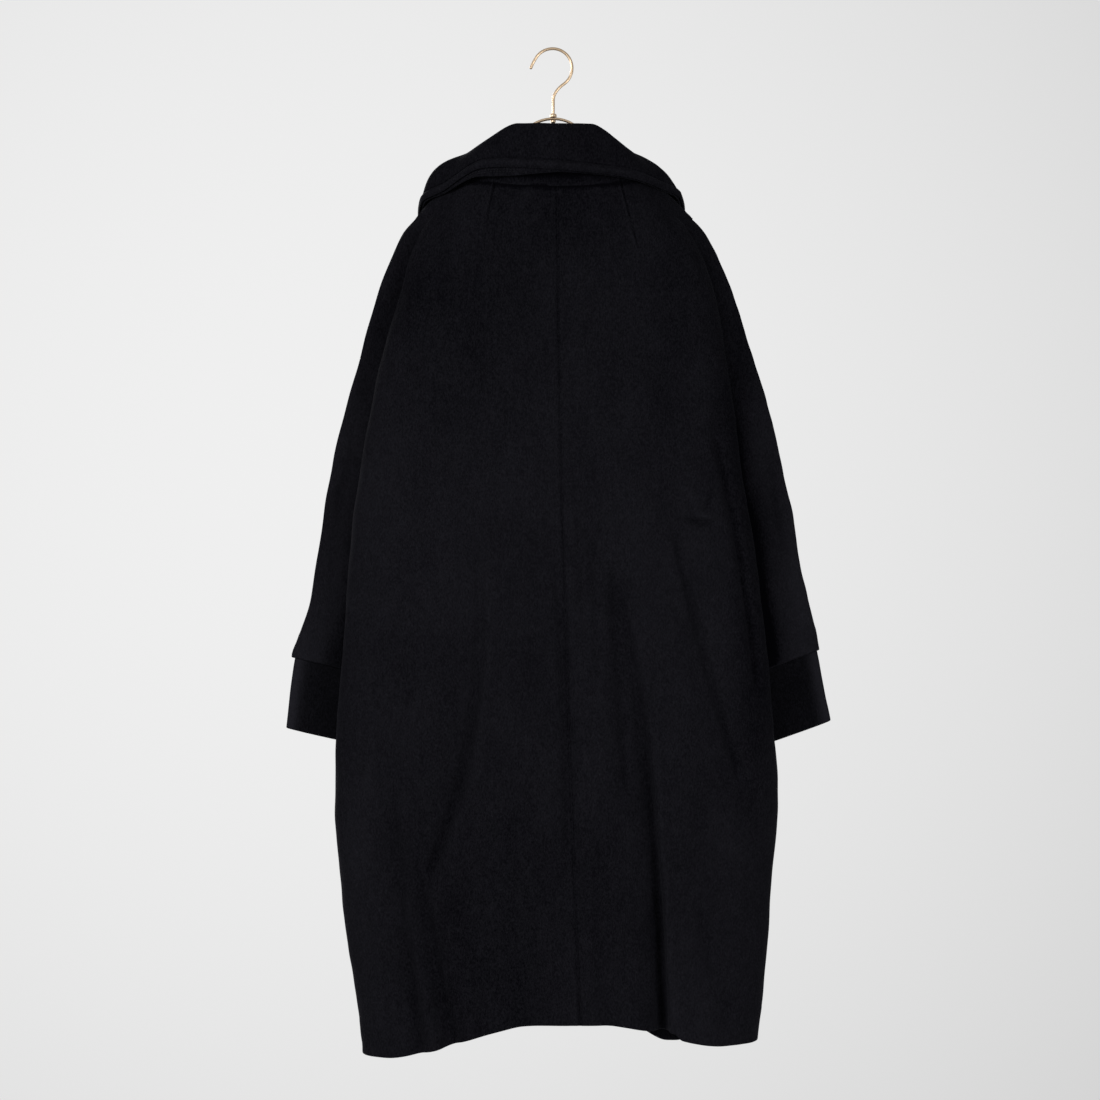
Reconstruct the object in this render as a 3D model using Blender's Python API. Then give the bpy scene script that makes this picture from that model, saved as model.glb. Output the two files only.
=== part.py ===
"""Tent coat in black wool, hung on a gilt wire hanger with its back towards -Y.

Each sleeve is cut in one with the back and with the front, so a panel runs from the centre over the shoulder
and down to the cuff. Sizes are millimetres from the inside of the hook's top, and MM makes them metres.
Left is -X and right is +X, for the wearer and for the view from behind alike.
"""

import math

import bmesh
import bpy
import numpy as np

MM = 0.001
SIDES = {"left": -1.0, "right": 1.0}
FACES = {"back": -1.0, "front": 1.0}


def table(columns, *rows):
    """A table as a dictionary of its named columns, read by its first one."""
    named = dict(zip(columns, np.array(rows, dtype=float).T))
    named["key"] = named[columns[0]]
    return named


# Cloth and seams
CLOTH = 2.4
COLLAR_CLOTH = 2.6
SEAM_GAP = 0.3

# Neck, shoulder and underarm
NECK_HALF_WIDTH = 112.0
NECK_SIDE_Z = -174.0
NECK_BACK_Y = -47.0
NECK_BACK_Z = -186.0
NECK_FRONT_Y = 70.0
NECK_FRONT_Z = -252.0
NECKLINE_BOW = 1.3
SHOULDER_END_Z = -229.0
SHOULDER_BOW = 1.5
UNDERARM_Z = -560.0
UNDERARM_INSET = 66.0
UNDERARM_Y = 12.0
CROTCH_RADIUS = 9.0
CROTCH_SHARE = 0.03

# Where the stretches of a panel's row end, as a share of the way from the centre to the overarm seam
NECK_SHARE = 0.55
VALLEY_SHARE = 0.80
EDGE_SHARE = 0.80
ROUNDNESS = 0.80
RIDGE_SHARE = 0.34
FOLD_STARTS = 0.02
FOLD_IS_DEEP = 0.52

# Centre back seam, which drifts to the right as the cloth hangs
CENTRE_TOP_X = 6.0
CENTRE_DRIFT = 31.0
CENTRE_LENGTH = 1130.0
CENTRE_BOW = 1.6

# Front edges: the right front laps over the left
FRONT_LAP = 40.0
FRONT_SPREAD = 0.7
LAP_STEP = 4.4
LAP_FADE = 70.0

# Hem, lowest at the two sides
HEM_LEVEL = -1340.0
HEM_Z = {"back": -1314.0, "front": -1330.0}
HEM_SIDE_Z = {"left": -1363.0, "right": -1345.0}
HEM_CENTRE_X = 26.0
HEM_FLAT = 40.0
HEM_REACH = {"left": 216.0, "right": 165.0}
HEM_WAVE = {
    "back": {"x": 164.0, "rise": 9.0, "wide_left": 26.0, "wide_right": 7.0},
    "front": {"x": 160.0, "rise": -20.0, "wide_left": 34.0, "wide_right": 36.0},
}
HEM_WAVE_FADE = 6.0

# Body sections: half widths of the back, its side edge, the depths at the centre, and how flat the sleeves
# press the front
BODY = table(
    ("z", "left", "right", "side_y", "back", "front", "squeeze"),
    (-186, 168, 170, 0, 47, 70, 1.00),
    (-228, 186, 189, 0, 53, 72, 1.00),
    (-300, 199, 212, -5, 58, 70, 1.00),
    (-415, 230, 234, -12, 63, 64, 1.00),
    (-500, 248, 246, -16, 66, 59, 1.04),
    (-560, 258, 254, -17, 67, 57, 1.24),
    (-620, 267, 264, -17, 69, 56, 1.90),
    (-700, 276, 277, -16, 71, 55, 2.50),
    (-820, 284, 290, -14, 73, 56, 2.80),
    (-930, 293, 300, -10, 74, 58, 2.10),
    (-1030, 295, 306, -5, 74, 60, 1.40),
    (-1130, 289, 298, -1, 72, 61, 1.10),
    (-1240, 274, 289, 1, 69, 60, 1.00),
    (-1350, 257, 279, 1, 65, 58, 0.96),
)

# Side seam below the underarm: it swings out to the side edge over this height
SIDE_SWING = 280.0
SIDE_SWING_WAIT = 20.0
SIDE_TUCK = 120.0
SIDE_INSET = 7.0
SIDE_SETBACK = 7.0

# Sleeve sections: the overarm seam, the width from it to the inner edge, and the swell of each face
SLEEVE = table(
    ("z", "left", "right", "over_y", "width", "back", "front"),
    (-229, 186, 190, 0, 120, 2, 4),
    (-250, 204, 210, 3, 120, 2, 6),
    (-313, 232, 240, 9, 120, 2, 9),
    (-422, 264, 276, 16, 120, 2, 12),
    (-530, 295, 308, 21, 118, 2, 14),
    (-585, 306, 318, 24, 118, 2, 15),
    (-639, 315, 331, 27, 122, 6, 15),
    (-694, 324, 339, 29, 128, 11, 16),
    (-748, 333, 350, 30, 132, 14, 17),
    (-802, 349, 363, 31, 136, 16, 18),
    (-826, 357, 367, 31, 138, 16, 18),
    (-880, 357, 367, 31, 138, 16, 18),
)
SLEEVE_INNER_Y = 35.0
SLEEVE_PARTS = 80.0
SLEEVE_SHIFTS = 120.0
SLEEVE_END_Z = {"left": -827.0, "right": -817.0}
CUFF_TILT = {"left": 0.22, "right": 0.35}

# Cuff rings: height over the sleeve's end, outer edge, width, and how far its faces lie inside the sleeve's
CUFF = table(
    ("rise", "left", "right", "width", "inset"),
    (12, 349, 360, 125, 4.4),
    (0, 353, 363, 127, 4.0),
    (-32, 358, 369, 128, 3.2),
    (-64, 362, 375, 128, 2.2),
    (-97, 366, 382, 127, 1.6),
)

# Largest folds: a path through three heights, the depth at its ends and the width on its two sides
FOLD_COLUMNS = (
    "z_top", "x_top", "z_mid", "x_mid", "z_low", "x_low", "deep_top", "deep_low", "wide_left", "wide_right",
)
FOLDS = {
    "back": table(
        FOLD_COLUMNS,
        (-700, 95, -1099, 133, -1560, 172, 2, 20, 26, 14),
        (-610, -111, -890, -108, -1150, -183, 3, 9, 20, 20),
        (-1110, -185, -1230, -160, -1560, -88, 8, 10, 18, 18),
        (-950, -229, -1145, -209, -1560, -160, 2, 12, 24, 24),
        (-720, 174, -870, 212, -1040, 272, 5, 5, 18, 18),
        (-690, 80, -830, 90, -1000, 100, 5, 3, 20, 20),
    ),
    "front": table(
        FOLD_COLUMNS,
        (-880, -150, -1120, -165, -1560, -182, 2, 14, 24, 18),
        (-800, 128, -1080, 142, -1560, 134, 2, 12, 20, 24),
        (-980, 205, -1180, 214, -1560, 226, 2, 10, 20, 20),
    ),
}
FOLD_FADE = 0.22
FOLD_REACH = 2.0

# Collar stations from the centre back to the centre front: roll line, free edge and reach of the fall
COLLAR = table(
    ("station", "roll_x", "roll_y", "roll_z", "edge_x", "edge_y", "edge_z", "reach",
     "left_out", "left_lift", "left_reach"),
    (0.00, 0, -58, -113, 0, -62, -179, 26, 0, 3, 0),
    (0.25, 51, -42, -115, 97, -42, -185, 30, 4, 13, 6),
    (0.40, 82, -16, -137, 146, -18, -192, 78, 6, -5, 62),
    (0.50, 102, -1, -149, 172, -2, -202, 124, 3, -6, 84),
    (0.62, 108, 28, -166, 179, 32, -228, 100, 2, -3, 40),
    (0.78, 80, 62, -196, 162, 76, -288, 52, 1, 0, 6),
    (1.00, 17, 90, -236, 76, 92, -350, 26, 0, 0, 0),
)
NECK_FRONT_END = 0.12
SIDE_NECK = 0.5
STAND_SHARE = 0.42
STAND_RISE = 1.3
STAND_REACH = 24.0
FALL_OUT = 0.25
FALL_DOWN = 1.2
COLLAR_LIFT = 1.0
COLLAR_FRONT_LIFT = 2.4
FRONT_LIFT_FROM = 0.45
FRONT_LIFT_SPAN = 0.2
COLLAR_SETBACK = 2.2
UNDER_COLLAR_EDGE = 1.0
UNDER_COLLAR_SHOWS = 8.0
UNDER_COLLAR_AT = 0.20
UNDER_COLLAR_SPAN = 0.16

# Hanger
WIRE_RADIUS = 2.0
WIRE_GAP = 0.4
HOOK_RADIUS = 26.5
HOOK_CENTRE_Z = WIRE_RADIUS - HOOK_RADIUS
HOOK_ARC = (150.0, -55.0)
HOOK_TIP = (-30.0, -26.0)
HOOK_TIP_WAY = (-0.25, -0.97)
STEM_X = 1.0
STEM_TOP_Z = -68.0
FERRULE_RADIUS = 4.6
FERRULE_HEIGHT = 4.2
FERRULE_NECK_RADIUS = 4.0
FERRULE_SHOULDER = 2.5
ARCH_RADIUS = 52.0
ARCH_TOP_Z = -93.4
ARCH_ANGLE = 62.0
ARM_START_X = 112.5
ARM_END_X = 176.0
ARM_DROOP = 3.6
ARM_DROOP_X = 140.0
RIVET_RADIUS = 3.4
RIVET_HEIGHT = 4.0
RIVET_SHOULDER = 2.4
RIVET_TIP_RADIUS = 2.0
RIVET_BORE = 0.8

# Grid steps
NECK_ROWS = (0.0, 0.02, 0.06, 0.12, 0.20, 0.30, 0.42, 0.56, 0.72, 0.90, 1.0)
BODY_ROWS = 16
SLEEVE_ROWS = 7
NECK_COLUMNS = 14
SHOULDER_COLUMNS = 4
CURL_COLUMNS = 3
SLEEVE_COLUMNS = 6
COLLAR_STATIONS = 29
COLLAR_COLUMNS = 10
ROUND_SIDES = 16
HOOK_POINTS = 26
BEND_POINTS = 8
ARCH_POINTS = 9
NECK_BEND_POINTS = 10
ARM_POINTS = 8
WELD_DIGITS = 3
SHARP_ANGLE = 50.0

# Finishes: colour, roughness and metallic value
BLACK_WOOL = ((0.010, 0.010, 0.014), 0.95, 0.0)
GILT_WIRE = ((0.70, 0.52, 0.30), 0.28, 1.0)


def mix(start, end, share):
    """The point that lies a share of the way from start to end."""
    return start + (end - start) * share


def ease(share):
    """A cubic ease from 0 to 1, flat at both ends."""
    share = np.clip(share, 0.0, 1.0)
    return share * share * (3.0 - 2.0 * share)


def read(rows, column, key):
    """A table's column at a key, along a monotone cubic through its rows."""
    order = np.argsort(rows["key"])
    knots = rows["key"][order]
    values = rows[column][order]
    steps = np.diff(knots)
    slopes = np.diff(values) / steps
    turning = slopes[:-1] * slopes[1:] <= 0.0
    slope_sum = np.where(turning, 1.0, slopes[:-1] + slopes[1:])
    inner = np.where(turning, 0.0, 2.0 * slopes[:-1] * slopes[1:] / slope_sum)
    tangents = np.concatenate((slopes[:1], inner, slopes[-1:]))
    key = np.clip(key, knots[0], knots[-1])
    row = np.clip(np.searchsorted(knots, key) - 1, 0, len(steps) - 1)
    share = (key - knots[row]) / steps[row]
    bend = share * (1.0 - share) * ((1.0 - share) * tangents[row] - share * tangents[row + 1])
    return mix(values[row], values[row + 1], ease(share)) + steps[row] * bend


def hermite(start, end, start_way, end_way, share):
    """A cubic from start to end that leaves along start_way and arrives along end_way."""
    bend = share * (1.0 - share) * ((1.0 - share) * start_way - share * end_way)
    return mix(start, end, ease(share)) + bend


def fold_depth(folds, x, z):
    """How far the folds press a panel in at a point: soft troughs along their paths, faded at both ends."""
    depth = np.zeros(np.broadcast(x, z).shape)
    for row in range(len(folds["key"])):
        fold = {column: values[row] for column, values in folds.items()}
        top, middle, low = fold["z_top"], fold["z_mid"], fold["z_low"]
        path = fold["x_top"] * (z - middle) * (z - low) / ((top - middle) * (top - low))
        path = path + fold["x_mid"] * (z - top) * (z - low) / ((middle - top) * (middle - low))
        path = path + fold["x_low"] * (z - top) * (z - middle) / ((low - top) * (low - middle))
        share = (top - z) / (top - low)
        fade = ease(share / FOLD_FADE) * ease((1.0 - share) / FOLD_FADE)
        across = x - path
        wide = np.where(across < 0.0, fold["wide_left"], fold["wide_right"])
        deep = mix(fold["deep_top"], fold["deep_low"], share)
        depth = depth + fade * deep * np.exp(-((across / wide) ** 2))
    return depth


def centre_x(z):
    """The centre back seam's place at a height."""
    fall = np.clip((NECK_BACK_Z - z) / CENTRE_LENGTH, 0.0, 1.0)
    return CENTRE_TOP_X + CENTRE_DRIFT * fall ** CENTRE_BOW


def front_turn(half_width, along):
    """Angle along a front, from its edge past the centre to its side."""
    return mix(-np.arcsin(FRONT_LAP / half_width), math.pi / 2.0, along)


def body_plan(side, face, along, z, tip):
    """Plan of a body panel from the centre to the tip where it meets the side seam or turns into the sleeve.

    The back is a quarter of a rounded box, then curls in from its edge to the tip. The front is a bell that
    the sleeve presses flat.
    """
    tip_x, tip_y = tip
    if face == "front":
        turn = front_turn(np.abs(tip_x), 1.0 - (1.0 - along) ** FRONT_SPREAD)
        x = tip_x * np.sin(turn)
        bell = np.clip(np.cos(turn), 0.0, 1.0) ** read(BODY, "squeeze", z)
        y = tip_y + (read(BODY, "front", z) - tip_y) * bell
        return x, y - fold_depth(FOLDS[face], x, z) * bell
    edge_x = SIDES[side] * read(BODY, side, z)
    edge_y = read(BODY, "side_y", z)
    turn = np.clip(along / EDGE_SHARE, 0.0, 1.0) * math.pi / 2.0
    swell = np.clip(np.cos(turn), 0.0, 1.0) ** ROUNDNESS
    x = mix(centre_x(z), edge_x, np.sin(turn) ** ROUNDNESS)
    y = edge_y - (read(BODY, "back", z) + edge_y) * swell
    y = y + fold_depth(FOLDS[face], x, z) * ease(FOLD_REACH * swell)
    curl = np.clip((along - EDGE_SHARE) / (1.0 - EDGE_SHARE), 0.0, 1.0)
    return x + (tip_x - edge_x) * ease(curl), y + (tip_y - edge_y) * curl


def sleeve_plan(side, face, along, z, tip):
    """Plan of a sleeve's face from the tip to the overarm seam: half an ellipse, tilted from end to end."""
    over_x = SIDES[side] * read(SLEEVE, side, z)
    over_y = read(SLEEVE, "over_y", z)
    swell = FACES[face] * read(SLEEVE, face, z) * np.sin(math.pi * along)
    x = mix(tip[0], over_x, (1.0 - np.cos(math.pi * along)) / 2.0)
    return x, mix(tip[1], over_y, along) + swell


def shoulder_plan(side, face, along, z):
    """Plan of a panel over the shoulder, before the valley opens: one round sweep to the overarm seam."""
    over_x = SIDES[side] * read(SLEEVE, side, z)
    over_y = read(SLEEVE, "over_y", z)
    depth = FACES[face] * read(BODY, face, z)
    if face == "front":
        turn = front_turn(np.abs(over_x), along)
        x = over_x * np.sin(turn)
    else:
        turn = along * math.pi / 2.0
        x = mix(centre_x(z), over_x, np.sin(turn) ** ROUNDNESS)
    swell = np.clip(np.cos(turn), 0.0, 1.0) ** ROUNDNESS
    return x, over_y + (depth - over_y) * swell


def valley_tip(side, face, z, drop):
    """Where the body turns into the sleeve above the underarm, closing round a small arc at the underarm."""
    closing = np.clip((drop - 1.0 + CROTCH_SHARE) / CROTCH_SHARE, 0.0, 1.0)
    x = SIDES[side] * (read(BODY, side, z) - UNDERARM_INSET)
    return x, UNDERARM_Y + FACES[face] * CROTCH_RADIUS * np.sqrt(1.0 - closing ** 2)


def side_tip(side, z):
    """The side seam below the underarm, swinging out to the back's edge."""
    below = UNDERARM_Z - z
    start_x = read(BODY, side, UNDERARM_Z) - UNDERARM_INSET
    end_x = read(BODY, side, z) - SIDE_INSET
    x = SIDES[side] * mix(start_x, end_x, ease((below - SIDE_SWING_WAIT) / SIDE_SWING))
    y = mix(UNDERARM_Y, read(BODY, "side_y", z) + SIDE_SETBACK, ease(below / SIDE_TUCK))
    return x, y


def inner_tip(side, z):
    """The sleeve's underarm seam, moving forward of the body and then down the sleeve's inner edge."""
    below = UNDERARM_Z - z
    start_x = read(BODY, side, UNDERARM_Z) - UNDERARM_INSET
    end_x = read(SLEEVE, side, z) - read(SLEEVE, "width", z)
    x = SIDES[side] * mix(start_x, end_x, ease(below / SLEEVE_SHIFTS))
    return x, mix(UNDERARM_Y, SLEEVE_INNER_Y, ease(below / SLEEVE_PARTS))


def top_edge(side, face, along):
    """A panel's top edge: the neckline to the side neck, then the shoulder seam."""
    sign = SIDES[side]
    neck = np.clip(along / NECK_SHARE, 0.0, 1.0)
    if face == "front":
        turn = front_turn(NECK_HALF_WIDTH, neck)
        x = sign * NECK_HALF_WIDTH * np.sin(turn)
        y = NECK_FRONT_Y * np.cos(turn)
        z = mix(NECK_SIDE_Z, NECK_FRONT_Z, np.clip(np.cos(turn), 0.0, 1.0) ** NECKLINE_BOW)
    else:
        turn = neck * math.pi / 2.0
        x = mix(CENTRE_TOP_X, sign * NECK_HALF_WIDTH, np.sin(turn))
        y = NECK_BACK_Y * np.cos(turn)
        z = mix(NECK_SIDE_Z, NECK_BACK_Z, np.cos(turn) ** 2)
    out = np.clip((along - NECK_SHARE) / (1.0 - NECK_SHARE), 0.0, 1.0)
    shoulder_x = read(SLEEVE, side, SHOULDER_END_Z) - NECK_HALF_WIDTH
    return x + sign * shoulder_x * out, y, z + (SHOULDER_END_Z - NECK_SIDE_Z) * out ** SHOULDER_BOW


def yoke_plan(side, face, along, z, drop):
    """Plan above the underarm: the round sweep gives way to a body and a sleeve with a valley between."""
    tip = valley_tip(side, face, z, drop)
    body = body_plan(side, face, np.clip(along / VALLEY_SHARE, 0.0, 1.0), z, tip)
    sleeve_along = np.clip((along - VALLEY_SHARE) / (1.0 - VALLEY_SHARE), 0.0, 1.0)
    sleeve = sleeve_plan(side, face, sleeve_along, z, tip)
    sweep = shoulder_plan(side, face, along, z)
    is_body = along <= VALLEY_SHARE
    opened = ease((drop - FOLD_STARTS) / (FOLD_IS_DEEP - FOLD_STARTS))
    x = mix(sweep[0], np.where(is_body, body[0], sleeve[0]), opened)
    return x, mix(sweep[1], np.where(is_body, body[1], sleeve[1]), opened)


def lap(side, face, x):
    """How far the right front lies outside the left one where they lap."""
    if face == "back" or side == "left":
        return 0.0
    return LAP_STEP * (1.0 - ease((x - FRONT_LAP) / LAP_FADE))


def yoke(side, face, along, drop):
    """A panel from its top edge to the underarm, rounded over the shoulder's ridge."""
    top_x, top_y, top_z = top_edge(side, face, along)
    z = mix(top_z, UNDERARM_Z, drop)
    x, y = yoke_plan(side, face, along, z, drop)
    start_x, start_y = yoke_plan(side, face, along, top_z, 0.0 * drop)
    near = 1.0 - np.clip(drop / RIDGE_SHARE, 0.0, 1.0)
    ridge = 1.0 - np.sqrt(1.0 - near ** 2)
    x = x + (top_x - start_x) * ridge
    y = y + (top_y - start_y) * ridge
    return np.stack((x, y + lap(side, face, x), z), axis=-1)


def hem_height(side, face, x):
    """The hem's height: level in the middle, easing down to the side seam."""
    reach = ease((np.abs(x - HEM_CENTRE_X) - HEM_FLAT) / HEM_REACH[side])
    return mix(HEM_Z[face], HEM_SIDE_Z[side], reach)


def hem_wave(face, x):
    """How far the hem rises above that height beside the deepest fold, or hangs below it on the front."""
    wave = HEM_WAVE[face]
    wide = np.where(x < wave["x"], wave["wide_left"], wave["wide_right"])
    return wave["rise"] * np.exp(-(((x - wave["x"]) / wide) ** 2))


def body_below(side, face, along, drop):
    """A panel's body from the underarm to the hem."""
    hem_x = body_plan(side, face, along, HEM_LEVEL, side_tip(side, HEM_LEVEL))[0]
    z = mix(UNDERARM_Z, hem_height(side, face, hem_x), drop) + hem_wave(face, hem_x) * drop ** HEM_WAVE_FADE
    x, y = body_plan(side, face, along, z, side_tip(side, z))
    return np.stack((x, y + lap(side, face, x), z), axis=-1)


def sleeve_below(side, face, along, drop):
    """A panel's half sleeve from the underarm to the cuff seam, which slants down to the inner edge."""
    end_z = SLEEVE_END_Z[side]
    inward = (1.0 + np.cos(math.pi * along)) / 2.0
    slanted = end_z - CUFF_TILT[side] * read(SLEEVE, "width", end_z) * inward
    z = mix(UNDERARM_Z, slanted, drop)
    x, y = sleeve_plan(side, face, along, z, inner_tip(side, z))
    return np.stack((x, y, z), axis=-1)


def cuff_face(side, face, along, rise):
    """One face of a cuff: the sleeve's own section, set inside it and carried down."""
    sign = SIDES[side]
    end_z = SLEEVE_END_Z[side]
    outer = read(CUFF, side, rise)
    width = read(CUFF, "width", rise)
    inward = (1.0 + np.cos(math.pi * along)) / 2.0
    x = sign * (outer - width * inward)
    swell = (read(SLEEVE, face, end_z) - read(CUFF, "inset", rise)) * np.sin(math.pi * along)
    y = mix(SLEEVE_INNER_Y, read(SLEEVE, "over_y", end_z), along) + FACES[face] * swell
    z = end_z + rise - CUFF_TILT[side] * width * inward
    return np.stack((x, y, z), axis=-1)


def collar_base(station):
    """The neck seam under the collar, from the left front round the back to the right front."""
    sign = np.where(station < 0.0, -1.0, 1.0)
    far = np.abs(station)
    back_turn = np.clip(far / SIDE_NECK, 0.0, 1.0) * math.pi / 2.0
    to_front = np.clip((far - SIDE_NECK) / (1.0 - SIDE_NECK), 0.0, 1.0)
    front_cos = np.cos(mix(math.pi / 2.0, NECK_FRONT_END, to_front))
    front_sin = np.sqrt(1.0 - front_cos ** 2)
    at_back = far <= SIDE_NECK
    back_x = mix(CENTRE_TOP_X, sign * NECK_HALF_WIDTH, np.sin(back_turn))
    x = np.where(at_back, back_x, sign * NECK_HALF_WIDTH * front_sin)
    y = np.where(at_back, NECK_BACK_Y * np.cos(back_turn), NECK_FRONT_Y * front_cos)
    back_z = mix(NECK_SIDE_Z, NECK_BACK_Z, np.cos(back_turn) ** 2)
    z = np.where(at_back, back_z, mix(NECK_SIDE_Z, NECK_FRONT_Z, front_cos ** NECKLINE_BOW))
    inward = 1.0 - COLLAR_SETBACK / np.hypot(x, y)
    lift = COLLAR_LIFT + COLLAR_FRONT_LIFT * ease((far - FRONT_LIFT_FROM) / FRONT_LIFT_SPAN)
    return np.stack((x * inward, y * inward, z + lift), axis=-1)


def collar_point(station, across):
    """The collar's middle surface: up the stand from the neck seam, over the roll and down the fall."""
    far = np.abs(station)
    sign = np.where(station < 0.0, -1.0, 1.0)
    is_left = station < 0.0
    shift = CENTRE_TOP_X * (1.0 - ease(far / SIDE_NECK))
    base = collar_base(station)
    roll_x = shift + sign * read(COLLAR, "roll_x", far)
    roll = np.stack((roll_x, read(COLLAR, "roll_y", far), read(COLLAR, "roll_z", far)), axis=-1)
    edge_x = shift + sign * (read(COLLAR, "edge_x", far) + is_left * read(COLLAR, "left_out", far))
    edge_z = read(COLLAR, "edge_z", far) + is_left * read(COLLAR, "left_lift", far)
    edge = np.stack((edge_x, read(COLLAR, "edge_y", far), edge_z), axis=-1)
    outward = (edge - base) * np.array((1.0, 1.0, 0.0))
    outward = outward / np.linalg.norm(outward, axis=-1, keepdims=True)
    reach = read(COLLAR, "reach", far) + is_left * read(COLLAR, "left_reach", far)
    up = np.clip(across / STAND_SHARE, 0.0, 1.0)[..., None]
    down = np.clip((across - STAND_SHARE) / (1.0 - STAND_SHARE), 0.0, 1.0)[..., None]
    height = np.linalg.norm(roll - base, axis=-1, keepdims=True)
    stand = hermite(base, roll, height * STAND_RISE * np.array((0.0, 0.0, 1.0)), outward * STAND_REACH, up)
    hang = (edge - roll) * np.array((FALL_OUT, FALL_OUT, FALL_DOWN))
    fall = hermite(roll, edge, outward * reach[..., None], hang, down)
    return np.where(across[..., None] <= STAND_SHARE, stand, fall)


def grid(function, across, down):
    """A surface function evaluated on a grid, with a row for each step down."""
    columns, rows = np.meshgrid(np.asarray(across, dtype=float), np.asarray(down, dtype=float))
    return function(columns, rows)


def weld(grids):
    """One sheet of points and quads from grids that share edges, with a flipped grid's quads turned over."""
    points = []
    quads = []
    count = 0
    for surface, flipped in grids:
        rows, columns = surface.shape[:2]
        index = count + np.arange(rows * columns).reshape(rows, columns)
        corners = (index[:-1, :-1], index[:-1, 1:], index[1:, 1:], index[1:, :-1])
        faces = np.stack(corners, axis=-1).reshape(-1, 4)
        quads.append(faces[:, ::-1] if flipped else faces)
        points.append(surface.reshape(-1, 3))
        count += rows * columns
    points = np.concatenate(points)
    rounded = np.round(points, WELD_DIGITS)
    first, inverse = np.unique(rounded, axis=0, return_index=True, return_inverse=True)[1:]
    return points[first], inverse.reshape(-1)[np.concatenate(quads)]


def shared_normals(sheets):
    """Normals of each sheet's points, averaged with the sheets that meet it at a seam."""
    points = np.concatenate([sheet[0] for sheet in sheets])
    inverse = np.unique(np.round(points, WELD_DIGITS), axis=0, return_inverse=True)[1].reshape(-1)
    sums = np.zeros((inverse.max() + 1, 3))
    start = 0
    for sheet_points, quads in sheets:
        corners = sheet_points[quads]
        faces = np.cross(corners[:, 2] - corners[:, 0], corners[:, 3] - corners[:, 1])
        for corner in range(4):
            np.add.at(sums, inverse[start + quads[:, corner]], faces)
        start += len(sheet_points)
    sums = sums / np.linalg.norm(sums, axis=1, keepdims=True)
    ends = np.cumsum([len(sheet[0]) for sheet in sheets])
    return np.split(sums[inverse], ends[:-1])


def open_edges(quads):
    """The directed edges that only one quad uses, and the number of that quad."""
    edges = np.stack((quads, np.roll(quads, -1, axis=1)), axis=-1).reshape(-1, 2)
    owners = np.repeat(np.arange(len(quads)), 4)
    inverse, uses = np.unique(np.sort(edges, axis=1), axis=0, return_inverse=True, return_counts=True)[1:]
    single = uses[inverse.reshape(-1)] == 1
    return edges[single], owners[single]


def drawn_in(points, quads):
    """The sheet's points with its open edges drawn in by half a seam's gap."""
    edges, owners = open_edges(quads)
    starts = points[edges[:, 0]]
    along = points[edges[:, 1]] - starts
    along = along / np.linalg.norm(along, axis=1, keepdims=True)
    inward = points[quads[owners]].mean(axis=1) - starts
    inward = inward - along * np.sum(inward * along, axis=1, keepdims=True)
    inward = inward / np.linalg.norm(inward, axis=1, keepdims=True)
    moves = np.zeros_like(points)
    for end in range(2):
        np.add.at(moves, edges[:, end], inward)
    lengths = np.linalg.norm(moves, axis=1, keepdims=True)
    return points + moves / np.maximum(lengths, 1.0) * SEAM_GAP / 2.0


def add_object(name, mesh, material):
    """A named object with its material, under the coat's empty."""
    mesh.materials.append(material)
    item = bpy.data.objects.new(name, mesh)
    bpy.context.scene.collection.objects.link(item)
    item.parent = coat
    return item


def wall(name, sheet, normals, outer, inner, material):
    """A closed wall between two offsets of a sheet along its normals."""
    points, quads = sheet
    count = len(points)
    edges = open_edges(quads)[0]
    middle = drawn_in(points, quads)
    both = np.concatenate((middle + normals * outer, middle + normals * inner)) * MM
    rim = np.stack((edges[:, 1], edges[:, 0], edges[:, 0] + count, edges[:, 1] + count), axis=-1)
    halves = np.concatenate((quads[:, (0, 1, 2)], quads[:, (0, 2, 3)]))
    rim_halves = np.concatenate((rim[:, (0, 1, 2)], rim[:, (0, 2, 3)]))
    faces = np.concatenate((halves, halves[:, ::-1] + count, rim_halves))
    mesh = bpy.data.meshes.new(name)
    mesh.from_pydata(both.tolist(), [], faces.tolist())
    mesh.shade_smooth()
    mesh.set_sharp_from_angle(angle=math.radians(SHARP_ANGLE))
    return add_object(name, mesh, material)


def panel_sheet(side, face):
    """The sheet of one panel: its body leg and its half sleeve, joined above the underarm."""
    to_side_neck = np.linspace(0.0, NECK_SHARE / VALLEY_SHARE, NECK_COLUMNS + 1)
    to_edge = np.linspace(NECK_SHARE / VALLEY_SHARE, EDGE_SHARE, SHOULDER_COLUMNS + 1)
    to_tip = np.linspace(EDGE_SHARE, 1.0, CURL_COLUMNS + 1)
    body = np.concatenate((to_side_neck, to_edge[1:], to_tip[1:]))
    sleeve = np.linspace(0.0, 1.0, SLEEVE_COLUMNS + 1)
    body_down = np.linspace(0.0, 1.0, BODY_ROWS + 1)
    sleeve_down = np.linspace(0.0, 1.0, SLEEVE_ROWS + 1)
    yoke_sleeve = VALLEY_SHARE + (1.0 - VALLEY_SHARE) * sleeve
    flipped = (face == "back") == (side == "right")
    surfaces = (
        grid(lambda along, drop: yoke(side, face, along, drop), VALLEY_SHARE * body, NECK_ROWS),
        grid(lambda along, drop: body_below(side, face, along, drop), body, body_down),
        grid(lambda along, drop: yoke(side, face, along, drop), yoke_sleeve, NECK_ROWS),
        grid(lambda along, drop: sleeve_below(side, face, along, drop), sleeve, sleeve_down),
    )
    return weld([(surface, flipped) for surface in surfaces])


def add_panels(material):
    """The two backs and the two fronts, whose normals agree along their seams."""
    names = [(side, face) for face in FACES for side in SIDES]
    sheets = [panel_sheet(side, face) for side, face in names]
    for (side, face), sheet, normals in zip(names, sheets, shared_normals(sheets)):
        wall(face + "_" + side, sheet, normals, 0.0, -CLOTH, material)


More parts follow.
